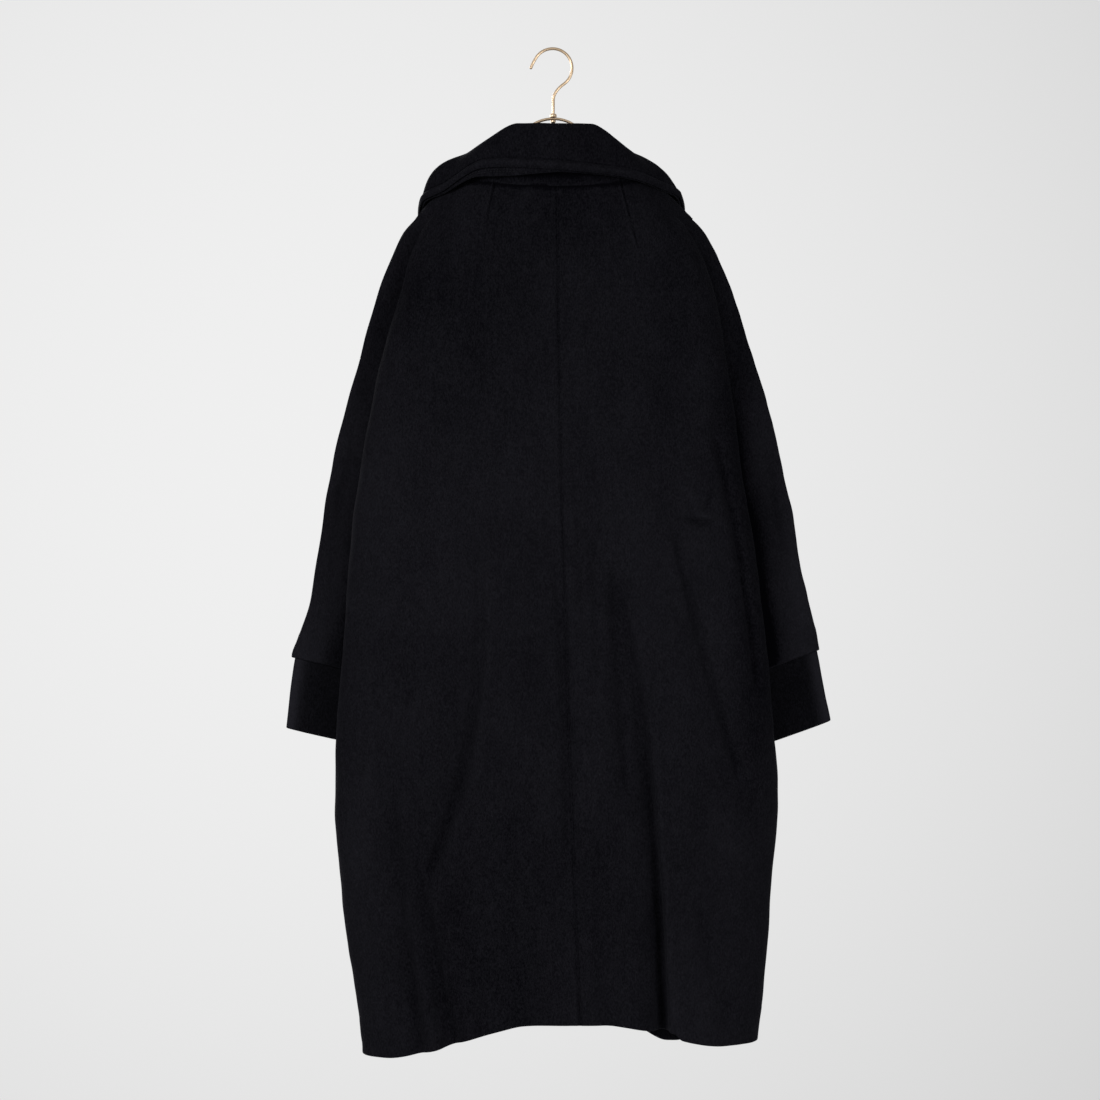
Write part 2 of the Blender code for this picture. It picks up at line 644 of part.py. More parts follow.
def add_cuff(side, material):
    """A cuff: a ring that starts inside the sleeve's end."""
    along = np.linspace(0.0, 1.0, SLEEVE_COLUMNS + 1)
    rings = []
    for face in FACES:
        surface = grid(lambda share, rise, face=face: cuff_face(side, face, share, rise), along, CUFF["rise"])
        rings.append((surface, (face == "back") == (side == "right")))
    sheet = weld(rings)
    wall("cuff_" + side, sheet, shared_normals([sheet])[0], 0.0, -CLOTH, material)


def add_collar(material):
    """The upper and the under collar, one on each side of the collar's middle surface."""
    stations = np.linspace(-1.0, 1.0, COLLAR_STATIONS)
    across = np.linspace(0.0, 1.0, COLLAR_COLUMNS)
    surface = collar_point(*np.meshgrid(stations, across))
    half_gap = SEAM_GAP / 2.0
    upper = weld([(surface, True)])
    wall("upper_collar", upper, shared_normals([upper])[0], half_gap + COLLAR_CLOTH, half_gap, material)
    way = surface[-1] - surface[-2]
    way = way / np.linalg.norm(way, axis=-1, keepdims=True)
    shows = UNDER_COLLAR_SHOWS * np.exp(-(((stations + UNDER_COLLAR_AT) / UNDER_COLLAR_SPAN) ** 2))
    strip = surface[-1] + way * (UNDER_COLLAR_EDGE + shows)[:, None]
    under = weld([(np.concatenate((surface, strip[None])), True)])
    wall("under_collar", under, shared_normals([under])[0], -half_gap, -half_gap - COLLAR_CLOTH, material)


def wire(name, path, material):
    """A round wire along a path of points in the hanger's plane."""
    curve = bpy.data.curves.new(name, "CURVE")
    curve.dimensions = "3D"
    curve.bevel_depth = WIRE_RADIUS * MM
    curve.bevel_resolution = 2
    curve.use_fill_caps = True
    spline = curve.splines.new("POLY")
    spline.points.add(len(path) - 1)
    for point, (x, z) in zip(spline.points, path):
        point.co = (x * MM, 0.0, z * MM, 1.0)
    return add_object(name, curve, material)


def hook_path():
    """The hook's centre line: flared tip, round top, and the bend down to the stem."""
    first, last = (math.radians(angle) for angle in HOOK_ARC)
    angles = np.linspace(first, last, HOOK_POINTS)
    arc = np.stack((np.cos(angles), np.sin(angles)), axis=-1) * HOOK_RADIUS + np.array((0.0, HOOK_CENTRE_Z))
    share = np.linspace(0.0, 1.0, BEND_POINTS)[:, None]
    tip_length = math.dist(HOOK_TIP, arc[0])
    tip_turn = np.array((math.sin(first), -math.cos(first))) * tip_length
    tip = hermite(np.array(HOOK_TIP), arc[0], -np.array(HOOK_TIP_WAY) * tip_length, tip_turn, share)
    stem_top = np.array((STEM_X, STEM_TOP_Z))
    bend_length = math.dist(stem_top, arc[-1])
    leave = np.array((math.sin(last), -math.cos(last))) * bend_length
    bend = hermite(arc[-1], stem_top, leave, np.array((0.0, -bend_length)), share)
    stem_end = np.array(((STEM_X, ARCH_TOP_Z + WIRE_RADIUS + SEAM_GAP),))
    return np.concatenate((tip[:-1], arc, bend[1:], stem_end))


def arm_height(side, x):
    """Height of the hanger's arm, just under the shoulder seam's inside."""
    shoulder = read(SLEEVE, side, SHOULDER_END_Z) - NECK_HALF_WIDTH
    out = (x - NECK_HALF_WIDTH) / shoulder
    seam = NECK_SIDE_Z + (SHOULDER_END_Z - NECK_SIDE_Z) * out ** SHOULDER_BOW
    slope = math.atan2(NECK_SIDE_Z - SHOULDER_END_Z, shoulder)
    droop = ARM_DROOP * ease((x - ARM_DROOP_X) / (ARM_END_X - ARM_DROOP_X))
    return seam - (CLOTH + WIRE_GAP + WIRE_RADIUS) / math.cos(slope) - droop


def frame_path():
    """The hanger's frame: an arch over the neck that runs down into two sloping arms."""
    angles = np.linspace(0.0, math.radians(ARCH_ANGLE), ARCH_POINTS)
    arch = np.stack((np.sin(angles), np.cos(angles) - 1.0), axis=-1) * ARCH_RADIUS
    arch = arch + np.array((0.0, ARCH_TOP_Z))
    arm_x = np.linspace(ARM_START_X, ARM_END_X, ARM_POINTS)
    share = np.linspace(0.0, 1.0, NECK_BEND_POINTS)[:, None]
    halves = []
    for side, sign in SIDES.items():
        arm = np.stack((arm_x, arm_height(side, arm_x)), axis=-1)
        length = math.dist(arch[-1], arm[0])
        leave = np.array((math.cos(angles[-1]), -math.sin(angles[-1]))) * length
        arrive = (arm[1] - arm[0]) / math.dist(arm[1], arm[0]) * length
        bend = hermite(arch[-1], arm[0], leave, arrive, share)
        half = np.concatenate((arch, bend[1:], arm[1:]))
        to_stem = 1.0 - ease(half[:, :1] / ARM_START_X)
        halves.append(half * np.array((sign, 1.0)) + np.array((STEM_X, 0.0)) * to_stem)
    return np.concatenate((halves[0][:0:-1], halves[1]))


def turned(name, profile, material):
    """A ring turned about the stem from its profile of radius and height, top to bottom on the outside."""
    shape = bmesh.new()
    rings = []
    for radius, z in profile:
        angles = np.linspace(0.0, 2.0 * math.pi, ROUND_SIDES, endpoint=False)
        ring = [(STEM_X + radius * math.cos(a), radius * math.sin(a), z) for a in angles]
        rings.append([shape.verts.new([value * MM for value in point]) for point in ring])
    for upper, lower in zip(rings, rings[1:] + rings[:1]):
        for step in range(ROUND_SIDES):
            after = (step + 1) % ROUND_SIDES
            shape.faces.new((upper[step], lower[step], lower[after], upper[after]))
    bmesh.ops.recalc_face_normals(shape, faces=shape.faces)
    mesh = bpy.data.meshes.new(name)
    shape.to_mesh(mesh)
    shape.free()
    return add_object(name, mesh, material)


def add_hanger(material):
    """The hook, its ferrule, the rivet under the arch and the wire frame."""
    wire("hanger_hook", hook_path(), material)
    wire("hanger_frame", frame_path(), material)
    low = ARCH_TOP_Z + WIRE_RADIUS + SEAM_GAP
    high = low + FERRULE_HEIGHT
    bore = WIRE_RADIUS + SEAM_GAP
    shoulder = low + FERRULE_SHOULDER
    outside = ((FERRULE_NECK_RADIUS, high), (FERRULE_RADIUS, shoulder), (FERRULE_RADIUS, low))
    turned("hanger_ferrule", ((bore, high), *outside, (bore, low)), material)
    high = ARCH_TOP_Z - WIRE_RADIUS - SEAM_GAP
    low = high - RIVET_HEIGHT
    shoulder = high - RIVET_SHOULDER
    outside = ((RIVET_RADIUS, high), (RIVET_RADIUS, shoulder), (RIVET_TIP_RADIUS, low))
    turned("hanger_rivet", ((RIVET_BORE, high), *outside, (RIVET_BORE, low)), material)


def finish(name, colour, roughness, metallic):
    """A plain material with its colour, roughness and metallic value."""
    material = bpy.data.materials.new(name)
    material.use_nodes = True
    shader = material.node_tree.nodes["Principled BSDF"]
    shader.inputs["Base Color"].default_value = (*colour, 1.0)
    shader.inputs["Roughness"].default_value = roughness
    shader.inputs["Metallic"].default_value = metallic
    return material


for item in list(bpy.data.objects):
    bpy.data.objects.remove(item, do_unlink=True)

coat = bpy.data.objects.new("tent_coat", None)
bpy.context.scene.collection.objects.link(coat)
wool = finish("black_wool", *BLACK_WOOL)
gilt = finish("gilt_wire", *GILT_WIRE)
add_panels(wool)
add_collar(wool)
for side_name in SIDES:
    add_cuff(side_name, wool)
add_hanger(gilt)
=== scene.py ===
"""The look of a black wool tent coat that hangs on a gilt wire hanger, seen from behind.

Surfaces are worked out in millimetres from the inside of the hook's top, and MM makes them metres.
Left is -X and right is +X. The back faces -Y, where the camera stands.
"""

import math

import bpy
import numpy as np
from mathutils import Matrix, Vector


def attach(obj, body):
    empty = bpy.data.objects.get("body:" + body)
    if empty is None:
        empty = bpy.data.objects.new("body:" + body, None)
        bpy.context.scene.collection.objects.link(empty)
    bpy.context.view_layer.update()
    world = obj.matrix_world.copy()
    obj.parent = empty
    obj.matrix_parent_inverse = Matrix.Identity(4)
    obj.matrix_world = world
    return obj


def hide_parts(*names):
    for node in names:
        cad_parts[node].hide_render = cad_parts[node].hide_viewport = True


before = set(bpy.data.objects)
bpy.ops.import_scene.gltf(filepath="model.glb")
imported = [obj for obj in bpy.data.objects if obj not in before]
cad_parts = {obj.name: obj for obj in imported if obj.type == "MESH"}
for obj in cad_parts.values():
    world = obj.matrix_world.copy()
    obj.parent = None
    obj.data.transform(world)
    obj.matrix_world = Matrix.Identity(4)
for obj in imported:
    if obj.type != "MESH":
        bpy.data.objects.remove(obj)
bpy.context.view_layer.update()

MM = 0.001
SIDES = {"left": -1.0, "right": 1.0}
FACES = {"back": -1.0, "front": 1.0}
TINY = 1e-9


def table(columns, *rows):
    """A table as a dictionary of its named columns, read by its first one."""
    named = dict(zip(columns, np.array(rows, dtype=float).T))
    named["key"] = named[columns[0]]
    return named


# Camera, level with the middle of the picture
CAMERA_PLACE = (-3.5, -3200.0, -679.8)
PICTURE_WIDTH = 1496.0
SENSOR_WIDTH = 36.0

# Cloth and seams
CLOTH = 2.4
COLLAR_CLOTH = 2.6
SEAM_GAP = 0.3
SEAM_MEETS = 0.12
HEM_TURN = 2.0
HEM_DEPTH = 42.0
HEM_TURN_EASE = 7.0
HEM_PUFF = 0.5
SLEEVE_HEM_DEPTH = 30.0
RIM_STEPS = 5
NORMAL_PASSES = 14

# Neck, shoulder and underarm
NECK_HALF_WIDTH = 112.0
NECK_SIDE_Z = -174.0
NECK_BACK_Y = -47.0
NECK_BACK_Z = -186.0
NECK_FRONT_Y = 70.0
NECK_FRONT_Z = -252.0
NECKLINE_BOW = 1.3
SHOULDER_END_Z = -229.0
SHOULDER_BOW = 1.5
UNDERARM_Z = -560.0
UNDERARM_INSET = 66.0
UNDERARM_Y = 12.0
CROTCH_RADIUS = 9.0
CROTCH_SHARE = 0.03
CROTCH_REACH = 5.0

# Where the stretches of a panel's row end, as a share of the way from the centre to the overarm seam
NECK_SHARE = 0.55
VALLEY_SHARE = 0.80
EDGE_SHARE = 0.80
ROUNDNESS = 0.80
RIDGE_SHARE = 0.34
FOLD_STARTS = 0.02
FOLD_IS_DEEP = 0.52

# Centre back seam, which drifts to the right as the cloth hangs
CENTRE_TOP_X = 6.0
CENTRE_DRIFT = 31.0
CENTRE_LENGTH = 1130.0
CENTRE_BOW = 1.6

# Front edges: the right front laps over the left
FRONT_LAP = 40.0
FRONT_SPREAD = 0.7
LAP_STEP = 4.4
LAP_FADE = 70.0

# Hem, lowest at the two sides
HEM_LEVEL = -1340.0
HEM_Z = {"back": -1314.0, "front": -1330.0}
HEM_SIDE_Z = {"left": -1363.0, "right": -1345.0}
HEM_CENTRE_X = 26.0
HEM_FLAT = 40.0
HEM_REACH = {"left": 216.0, "right": 165.0}
HEM_WAVE = {
    "back": {"x": 165.0, "rise": 7.5, "wide_left": 26.0, "wide_right": 4.5},
    "front": {"x": 160.0, "rise": -17.0, "wide_left": 34.0, "wide_right": 36.0},
}
HEM_WAVE_FADE = 6.0

# Body sections: half widths of the back, its side edge, the depths at the centre, and how flat the sleeves
# press the front
BODY = table(
    ("z", "left", "right", "side_y", "back", "front", "squeeze"),
    (-186, 168, 170, 0, 47, 70, 1.00),
    (-228, 186, 189, 0, 53, 72, 1.00),
    (-300, 199, 212, -5, 58, 70, 1.00),
    (-415, 230, 234, -12, 63, 64, 1.00),
    (-500, 248, 246, -16, 66, 59, 1.04),
    (-560, 258, 254, -17, 67, 57, 1.24),
    (-620, 267, 264, -17, 69, 56, 1.90),
    (-700, 276, 277, -16, 71, 55, 2.50),
    (-820, 284, 290, -14, 73, 56, 2.80),
    (-930, 293, 300, -10, 74, 58, 2.10),
    (-1030, 295, 306, -5, 74, 60, 1.40),
    (-1130, 289, 298, -1, 72, 61, 1.10),
    (-1240, 274, 289, 1, 69, 60, 1.00),
    (-1350, 257, 279, 1, 65, 58, 0.96),
)

# Side seam below the underarm: it swings out to the side edge over this height
SIDE_SWING = 280.0
SIDE_SWING_WAIT = 20.0
SIDE_TUCK = 120.0
SIDE_INSET = 7.0
SIDE_SETBACK = 7.0

# Sleeve sections: the overarm seam, the width from it to the inner edge, and the swell of each face
SLEEVE = table(
    ("z", "left", "right", "over_y", "width", "back", "front"),
    (-229, 186, 190, 0, 120, 2, 4),
    (-250, 204, 210, 3, 120, 2, 6),
    (-313, 232, 240, 9, 120, 2, 9),
    (-422, 264, 276, 16, 120, 2, 12),
    (-530, 295, 308, 21, 118, 2, 14),
    (-585, 306, 318, 24, 118, 2, 15),
    (-639, 315, 331, 27, 122, 6, 15),
    (-694, 324, 339, 29, 128, 11, 16),
    (-748, 333, 350, 30, 132, 14, 17),
    (-802, 349, 363, 31, 136, 16, 18),
    (-826, 357, 367, 31, 138, 16, 18),
    (-880, 357, 367, 31, 138, 16, 18),
)
SLEEVE_INNER_Y = 35.0
SLEEVE_PARTS = 80.0
SLEEVE_SHIFTS = 120.0
SLEEVE_END_Z = {"left": -827.0, "right": -817.0}
CUFF_TILT = {"left": 0.22, "right": 0.35}

# Cuff rings: height over the sleeve's end, outer edge, width, and how far its faces lie inside the sleeve's
CUFF = table(
    ("rise", "left", "right", "width", "inset"),
    (12, 349, 360, 125, 4.4),
    (0, 353, 363, 127, 4.0),
    (-32, 358, 369, 128, 3.2),
    (-64, 362, 375, 128, 2.2),
    (-97, 366, 382, 127, 1.6),
)
CUFF_TURN = 1.2
CUFF_HEM_DEPTH = 24.0

# Folds and creases: a path through three heights, the depth at its ends, and the width on its two sides.
# A negative depth is a ridge.
FOLD_COLUMNS = (
    "z_top", "x_top", "z_mid", "x_mid", "z_low", "x_low", "deep_top", "deep_low", "wide_left", "wide_right",
)
FOLDS = {
    "back": table(
        FOLD_COLUMNS,
        (-700, 95, -1099, 133, -1560, 172, 2, 20, 26, 14),
        (-610, -111, -890, -108, -1150, -183, 3, 9, 20, 20),
        (-1110, -185, -1230, -160, -1560, -88, 8, 10, 18, 18),
        (-950, -229, -1145, -209, -1560, -160, 2, 12, 24, 24),
        (-720, 174, -870, 212, -1040, 272, 5, 5, 18, 18),
        (-690, 80, -830, 90, -1000, 100, 5, 3, 20, 20),
    ),
    "front": table(
        FOLD_COLUMNS,
        (-880, -150, -1120, -165, -1560, -182, 2, 14, 24, 18),
        (-800, 128, -1080, 142, -1560, 134, 2, 12, 20, 24),
        (-980, 205, -1180, 214, -1560, 226, 2, 10, 20, 20),
    ),
}
CREASES = {
    "back": table(
        FOLD_COLUMNS,
        (-690, 4, -880, 17, -1100, 20, 4.0, 5.5, 7, 9),
        (-680, 80, -960, 123, -1500, 151, 4.0, 15.0, 9, 6),
        (-900, 134, -1140, 150, -1480, 172, -2.0, -9.0, 9, 9),
        (-690, 79, -860, 91, -1010, 100, 5.0, 4.0, 8, 8),
        (-1150, 196, -1235, 216, -1330, 240, 5.0, 4.0, 14, 16),
        (-500, 212, -690, 252, -880, 276, 5.5, 8.0, 6, 6),
        (-640, -107, -900, -106, -1150, -182, 2.8, 7.5, 6, 7),
        (-640, -92, -880, -90, -1010, -103, -2.5, -4.0, 10, 8),
        (-1085, -186, -1220, -160, -1420, -114, 4.5, 4.0, 8, 8),
        (-1120, -199, -1230, -181, -1420, -136, -3.0, -3.0, 10, 9),
        (-980, -222, -1137, -204, -1420, -172, 4.0, 7.0, 9, 9),
        (-640, 160, -800, 197, -1000, 256, 5.0, 7.0, 5, 6),
        (-420, -150, -640, -176, -900, -196, 2.4, 3.2, 26, 22),
        (-380, 128, -520, 150, -700, 160, 2.2, 3.0, 24, 20),
        (-1010, -62, -1180, -54, -1420, -38, 1.8, 4.0, 16, 13),
        (-1060, 60, -1200, 66, -1440, 82, 1.5, 3.2, 14, 16),
        (-650, 53, -740, 57, -860, 64, 2.4, 2.0, 6, 6),
        (-640, 34, -720, 37, -820, 44, 1.8, 1.8, 5, 5),
    ),
    "front": table(
        FOLD_COLUMNS,
        (-420, -110, -620, -118, -880, -128, 3.0, 5.0, 16, 14),
        (-980, -70, -1150, -62, -1420, -52, 3.5, 6.0, 10, 9),
        (-1000, 92, -1180, 100, -1440, 96, 3.5, 6.5, 8, 10),
        (-640, 150, -760, 158, -930, 172, 4.0, 4.0, 9, 10),
        (-1080, -236, -1200, -228, -1420, -214, 3.5, 6.0, 10, 10),
        (-310, 92, -390, 116, -540, 138, 2.5, 3.0, 16, 14),
        (-960, -136, -1130, -147, -1440, -162, -2.0, -5.0, 9, 8),
        (-900, 152, -1090, 164, -1440, 158, -2.0, -5.0, 8, 9),
    ),
}
SLEEVE_CREASES = {
    "left": table(
        FOLD_COLUMNS,
        (-500, -262, -640, -294, -800, -318, 1.2, 2.4, 10, 12),
        (-600, -303, -690, -318, -820, -340, 0.8, 1.6, 7, 8),
        (-300, -186, -400, -214, -540, -250, 1.0, 1.6, 16, 16),
        (-690, -262, -750, -270, -830, -274, 1.5, 2.2, 10, 10),
    ),
    "right": table(
        FOLD_COLUMNS,
        (-470, 268, -620, 302, -790, 326, 1.2, 2.2, 12, 10),
        (-590, 292, -680, 304, -830, 316, 1.0, 2.0, 8, 8),
        (-290, 190, -390, 222, -560, 262, 1.0, 1.6, 16, 16),
        (-640, 330, -720, 338, -810, 352, 0.8, 1.4, 7, 7),
        (-590, 296, -640, 305, -690, 314, 3.0, 3.0, 4, 5),
    ),
}
FOLD_FADE = 0.22
CREASE_FADE = 0.12
FOLD_REACH = 2.0
YOKE_CALM = 0.14

# Short dents: middle, half length, half width, turn from level in degrees, and depth
DENT_COLUMNS = ("x", "z", "long", "wide", "turn", "deep")
DENTS = {
    "back": table(
        DENT_COLUMNS,
        (194, -642, 17, 4, -8, 4.2),
        (206, -635, 10, 3.5, -4, -3.0),
        (208, -617, 13, 4, 70, 2.6),
        (186, -606, 30, 6, -52, -1.6),
        (-192, -875, 10, 4, 82, 2.2),
        (-240, -868, 9, 4, 86, 1.8),
        (-64, -520, 40, 14, 66, 0.8),
        (150, -470, 46, 16, -60, 0.8),
        (-150, -1010, 30, 9, 48, 1.0),
        (230, -985, 26, 8, -40, 1.0),
        (-30, -1220, 34, 10, 74, 0.9),
        (96, -1230, 26, 9, 78, 0.9),
    ),
    "front": table(
        DENT_COLUMNS,
        (-90, -700, 34, 8, 60, 1.1),
        (110, -640, 30, 8, -55, 1.1),
        (60, -960, 40, 10, -75, 1.0),
        (-110, -1040, 30, 9, 70, 1.0),
        (-60, -420, 40, 14, 50, 0.9),
        (120, -460, 44, 14, -54, 0.9),
    ),
}

# Fine ripples beside the centre back seam
RIPPLE_PLACE = (45.0, -706.0)
RIPPLE_SPREAD = (17.0, 34.0)
RIPPLE_PITCH = 8.5
RIPPLE_DEPTH = 0.45

# Neck darts on the back: their ends, the groove's depth, the ridge on its left, their half width, how far
# apart they lie, and the length over which they run out
DARTS = table(
    ("x_top", "z_top", "x_low", "z_low"),
    (-75, -172, -91, -250),
    (88, -170, 115, -278),
)
DART_DEPTH = 1.6
DART_RIDGE = 1.5
DART_WIDTH = 1.5
DART_APART = 2.6
DART_RUN_OUT = 14.0

# Valley along the centre back seam
SEAM_DIP = 1.5
SEAM_WIDE = 1.9

# Low lumps all over the cloth: height, and the length of a wave along each axis. Those on the cuffs and the
# collar are lower by a share.
LUMPS = table(
    ("high", "along_x", "along_y", "along_z", "phase"),
    (0.60, 150, 210, 330, 0.4),
    (0.45, -96, 130, 205, 2.1),
    (0.32, 64, -90, 118, 4.0),
    (0.20, -43, 60, 71, 1.2),
    (0.12, 27, 41, -46, 5.2),
)
SMALL_LUMPS = 0.5

# Collar stations from the centre back to the centre front: roll line, free edge and reach of the fall
COLLAR = table(
    ("station", "roll_x", "roll_y", "roll_z", "edge_x", "edge_y", "edge_z", "reach",
     "left_out", "left_lift", "left_reach"),
    (0.00, 0, -58, -113, 0, -62, -172, 26, 0, 0, 0),
    (0.25, 49, -42, -110, 97, -42, -180, 30, 2, 12, 6),
    (0.40, 82, -16, -137, 146, -18, -192, 78, 6, -5, 62),
    (0.50, 102, -1, -149, 172, -2, -202, 124, 3, -6, 84),
    (0.62, 108, 28, -166, 179, 32, -228, 100, 2, -3, 40),
    (0.78, 80, 62, -196, 162, 76, -288, 52, 1, 0, 6),
    (1.00, 17, 90, -236, 76, 92, -350, 26, 0, 0, 0),
)
NECK_FRONT_END = 0.12
SIDE_NECK = 0.5
STAND_SHARE = 0.42
STAND_RISE = 1.3
STAND_REACH = 24.0
FALL_OUT = 0.25
FALL_DOWN = 1.2
COLLAR_LIFT = -6.0
COLLAR_FRONT_LIFT = 2.4
FRONT_LIFT_FROM = 0.45
FRONT_LIFT_SPAN = 0.2
COLLAR_SETBACK = 0.6
UNDER_COLLAR_EDGE = 1.0
UNDER_COLLAR_SHOWS = 11.0
UNDER_COLLAR_AT = 0.19
UNDER_COLLAR_SPAN = 0.15

# Sewing on the collar
TOPSTITCH_IN = 12.0
TOPSTITCH_GROOVE = 1.6
TOPSTITCH_WIDE = 1.0
EDGE_PUFF = 2.8
EDGE_ROLL_WIDE = 4.0
STITCH_PITCH = 4.4
STITCH_LENGTH = 3.5
STITCH_RADIUS = 0.34
STITCH_SIDES = 6
STITCH_RINGS = 5
STITCH_BLUNT = 4
STITCH_END = 0.08
STRIP_STITCHES_OUT = (3.0, 6.0)
STRIP_STATIONS = (-0.30, -0.08)

# Hanger
WIRE_RADIUS = 2.0
WIRE_GAP = 0.4
HOOK_RADIUS = 26.5
HOOK_CENTRE_Z = WIRE_RADIUS - HOOK_RADIUS
HOOK_ARC = (150.0, -55.0)
HOOK_TIP = (-30.0, -26.0)
HOOK_TIP_WAY = (-0.25, -0.97)
STEM_X = 1.0
STEM_TOP_Z = -68.0
FERRULE_RADIUS = 4.6
FERRULE_HEIGHT = 4.2
FERRULE_NECK_RADIUS = 4.0
FERRULE_SHOULDER = 2.5
ARCH_RADIUS = 52.0
ARCH_TOP_Z = -93.4
ARCH_ANGLE = 62.0
ARM_START_X = 112.5
ARM_END_X = 176.0
ARM_DROOP = 3.6
ARM_DROOP_X = 140.0
RIVET_RADIUS = 3.4
RIVET_HEIGHT = 4.0
RIVET_SHOULDER = 2.4
RIVET_TIP_RADIUS = 2.0
RIVET_BORE = 0.8
EDGE_ROUND = 0.5
CORNER_SHARES = (0.0, 0.33, 0.67, 1.0)
WIRE_SIDES = 20
WIRE_END_RINGS = 6
WIRE_END_STARTS = 0.05
WIRE_END_CLEAR = 1.2
WIRE_LOOK = 0.5

# Grid steps
SEAM_ANGLES = (0.0, 0.014, 0.022)
SEAM_COLUMNS = 3
CENTRE_STEPS = 70
DART_STEPS = 30
OUTER_STEPS = 40
DART_BAND = (0.68, 0.88)
CURL_STEPS = 12
FRONT_STEPS = 84
SLEEVE_STEPS = 32
RIDGE_ROWS = 24
YOKE_ROWS = 48
BODY_ROWS = 166
PINCH_ROWS = (0.06, 0.13, 22)
SLEEVE_ROWS = 54
CUFF_ROWS = 34
COLLAR_STATIONS = 201
STAND_ROWS = 14
FALL_ROWS = 22
EDGE_ROWS = (24, 20, 17, 15, 14, 13.2, 12.6, 12, 11.4, 10.8, 10, 9, 7, 4.5, 2.2, 0)
STRIP_ROWS = (0.35, 0.7, 1.0)
COLLAR_STEP = 0.01
HOOK_POINTS = 72
BEND_POINTS = 28
STEM_POINTS = 8
ARCH_POINTS = 28
NECK_BEND_POINTS = 30
ARM_POINTS = 24
FLOOR_RINGS = 24
FLOOR_SIDES = 96
WELD_DIGITS = 3

# Finishes: linear colours
WOOL_DEEP = (0.0027, 0.0026, 0.0038)
WOOL_PALE = (0.0088, 0.0086, 0.0112)
# The cuffs' colours: the wool's, darker, as painted shade on the cuffs
CUFF_SHADED_DEEP = (0.0012, 0.0012, 0.0018)
CUFF_SHADED_PALE = (0.0055, 0.0054, 0.0071)
THREAD = (0.0030, 0.0030, 0.0042)
THREAD_PALE = (0.0090, 0.0090, 0.0115)
GILT = (0.52, 0.395, 0.27)
GILT_DEEP = (0.36, 0.26, 0.165)
FLOOR_PALE = (0.80, 0.80, 0.80)
FLOOR_SHADE = (0.74, 0.74, 0.74)
SHEEN_TINT = (0.62, 0.64, 0.78)

# Noises in the nap: how each is scaled upright, which draws it out, then its scale, detail and roughness
NAP_NOISES = {
    "hairs": (0.20, 1300.0, 2.0, 0.6),
    "tufts": (0.55, 520.0, 2.0, 0.6),
    "clumps": (0.6, 120.0, 2.0, 0.5),
    "streaks": (0.4, 22.0, 3.0, 0.5),
    "clouds": (1.0, 7.0, 2.0, 0.5),
}

# What the nap gives out, and the weight of each noise in it
NAP_WEIGHTS = {
    "Hairs": {"hairs": 0.25, "tufts": 0.60, "clumps": 0.15},
    "Patches": {"streaks": 0.55, "clouds": 0.45},
    "Height": {"tufts": 0.65, "hairs": 0.35},
}

# Noises in the plating and on the floor, in the same order
METAL_NOISES = {"Clouds": (1.0, 120.0, 3.0, 0.55), "Marks": (0.12, 2200.0, 2.0, 0.6)}
FLOOR_NOISE = (1.0, 3.0, 3.0, 0.5)

# Ranges of those patterns, and the shares of a colour or the roughnesses that they become
NAP_RANGE = (0.30, 0.70)
PATCH_SHARES = (0.16, 0.60)
HAIR_SHARES = (-0.74, 0.84)
WOOL_ROUGHNESS = (0.86, 1.0)
THREAD_ROUGHNESS = (0.55, 0.75)
DULL_RANGE = (0.35, 0.70)
DULL_SHARES = (0.0, 0.7)
CLOUD_RANGE = (0.30, 0.70)
CLOUD_ROUGHNESS = (0.30, 0.42)
MARK_RANGE = (0.45, 0.75)
MARK_ROUGHNESS = (0.0, 0.08)

# Plain values of the shaders: a bump is its distance in metres and its strength
WOOL_BUMP = (0.0011, 0.8)
GILT_BUMP = (0.00004, 0.5)
WOOL_GLOSS = 0.03
THREAD_GLOSS = 0.10
FLOOR_GLOSS = 0.1
FLOOR_ROUGHNESS = 0.9
WOOL_SHEEN = 0.015
CUFF_SHEEN = 0.03
SHEEN_ROUGHNESS = 0.42
NODE_STEP = 200.0

# Painted light and shade at each point, as a share of the pale colour: painted light on the sleeves, on the
# collar's edge and on the cuffs' outer band, a painted highlight along the left back's edge, and painted
# shade along edges and seams, under the fall and down in dents and creases; the whole collar is a share
# darker
PAINTED_SHADING = "painted_shading"
DEEPEST = -0.38
DENT_SHADE = 0.10
CREASE_SHADE = 0.032
SEAM_SHADE = 0.19
# Painted light on the sleeves, and painted shade on them beside the body
SLEEVE_LIGHT = {"left": 0.42, "right": 0.90}
SLEEVE_SHADE = {"left": -0.60, "right": -1.6}
SLEEVE_LIGHT_STARTS = 0.50
SLEEVE_LIGHT_SPAN = 0.20
SLEEVE_SHADE_WIDE = {"left": 0.10, "right": 0.045}
FRONT_LIGHT_SHARE = 0.4
SLEEVE_LIGHT_FROM = 0.55
SLEEVE_LIGHT_DROP = 0.5
# Painted shade along the backs' side edges, with a painted highlight on the left one
EDGE_SHADE = {"left": -0.45, "right": -0.70}
EDGE_SHADE_WIDE = 0.09
EDGE_GLEAM = {"left": 1.2, "right": 0.0}
EDGE_GLEAM_WIDE = 0.025
EDGE_SHADE_KEPT = {"left": -0.1, "right": 0.35}
EDGE_SHADE_FADE = 0.2
EDGE_SHADE_FROM = 0.2
EDGE_SHADE_DROP = 0.4
# The whole collar a share darker
COLLAR_DARKER = -0.20
# Painted light on the collar's edge roll and painted shade in its groove, a share of that relief
COLLAR_RELIEF_SHADING = 0.12
# A painted line of shade just under the neck seam
NECK_SEAM_SHADE = 1.0
NECK_SEAM_AT = 0.019
NECK_SEAM_DROP = 0.007
STAND_SHADE = -0.9
STAND_SHADE_ROWS = (0.6, 1.7)
# Painted light in a band along each cuff's outer edge
CUFF_LIGHT = 2.1
CUFF_LIGHT_STARTS = 0.72
CUFF_LIGHT_SPAN = 0.16
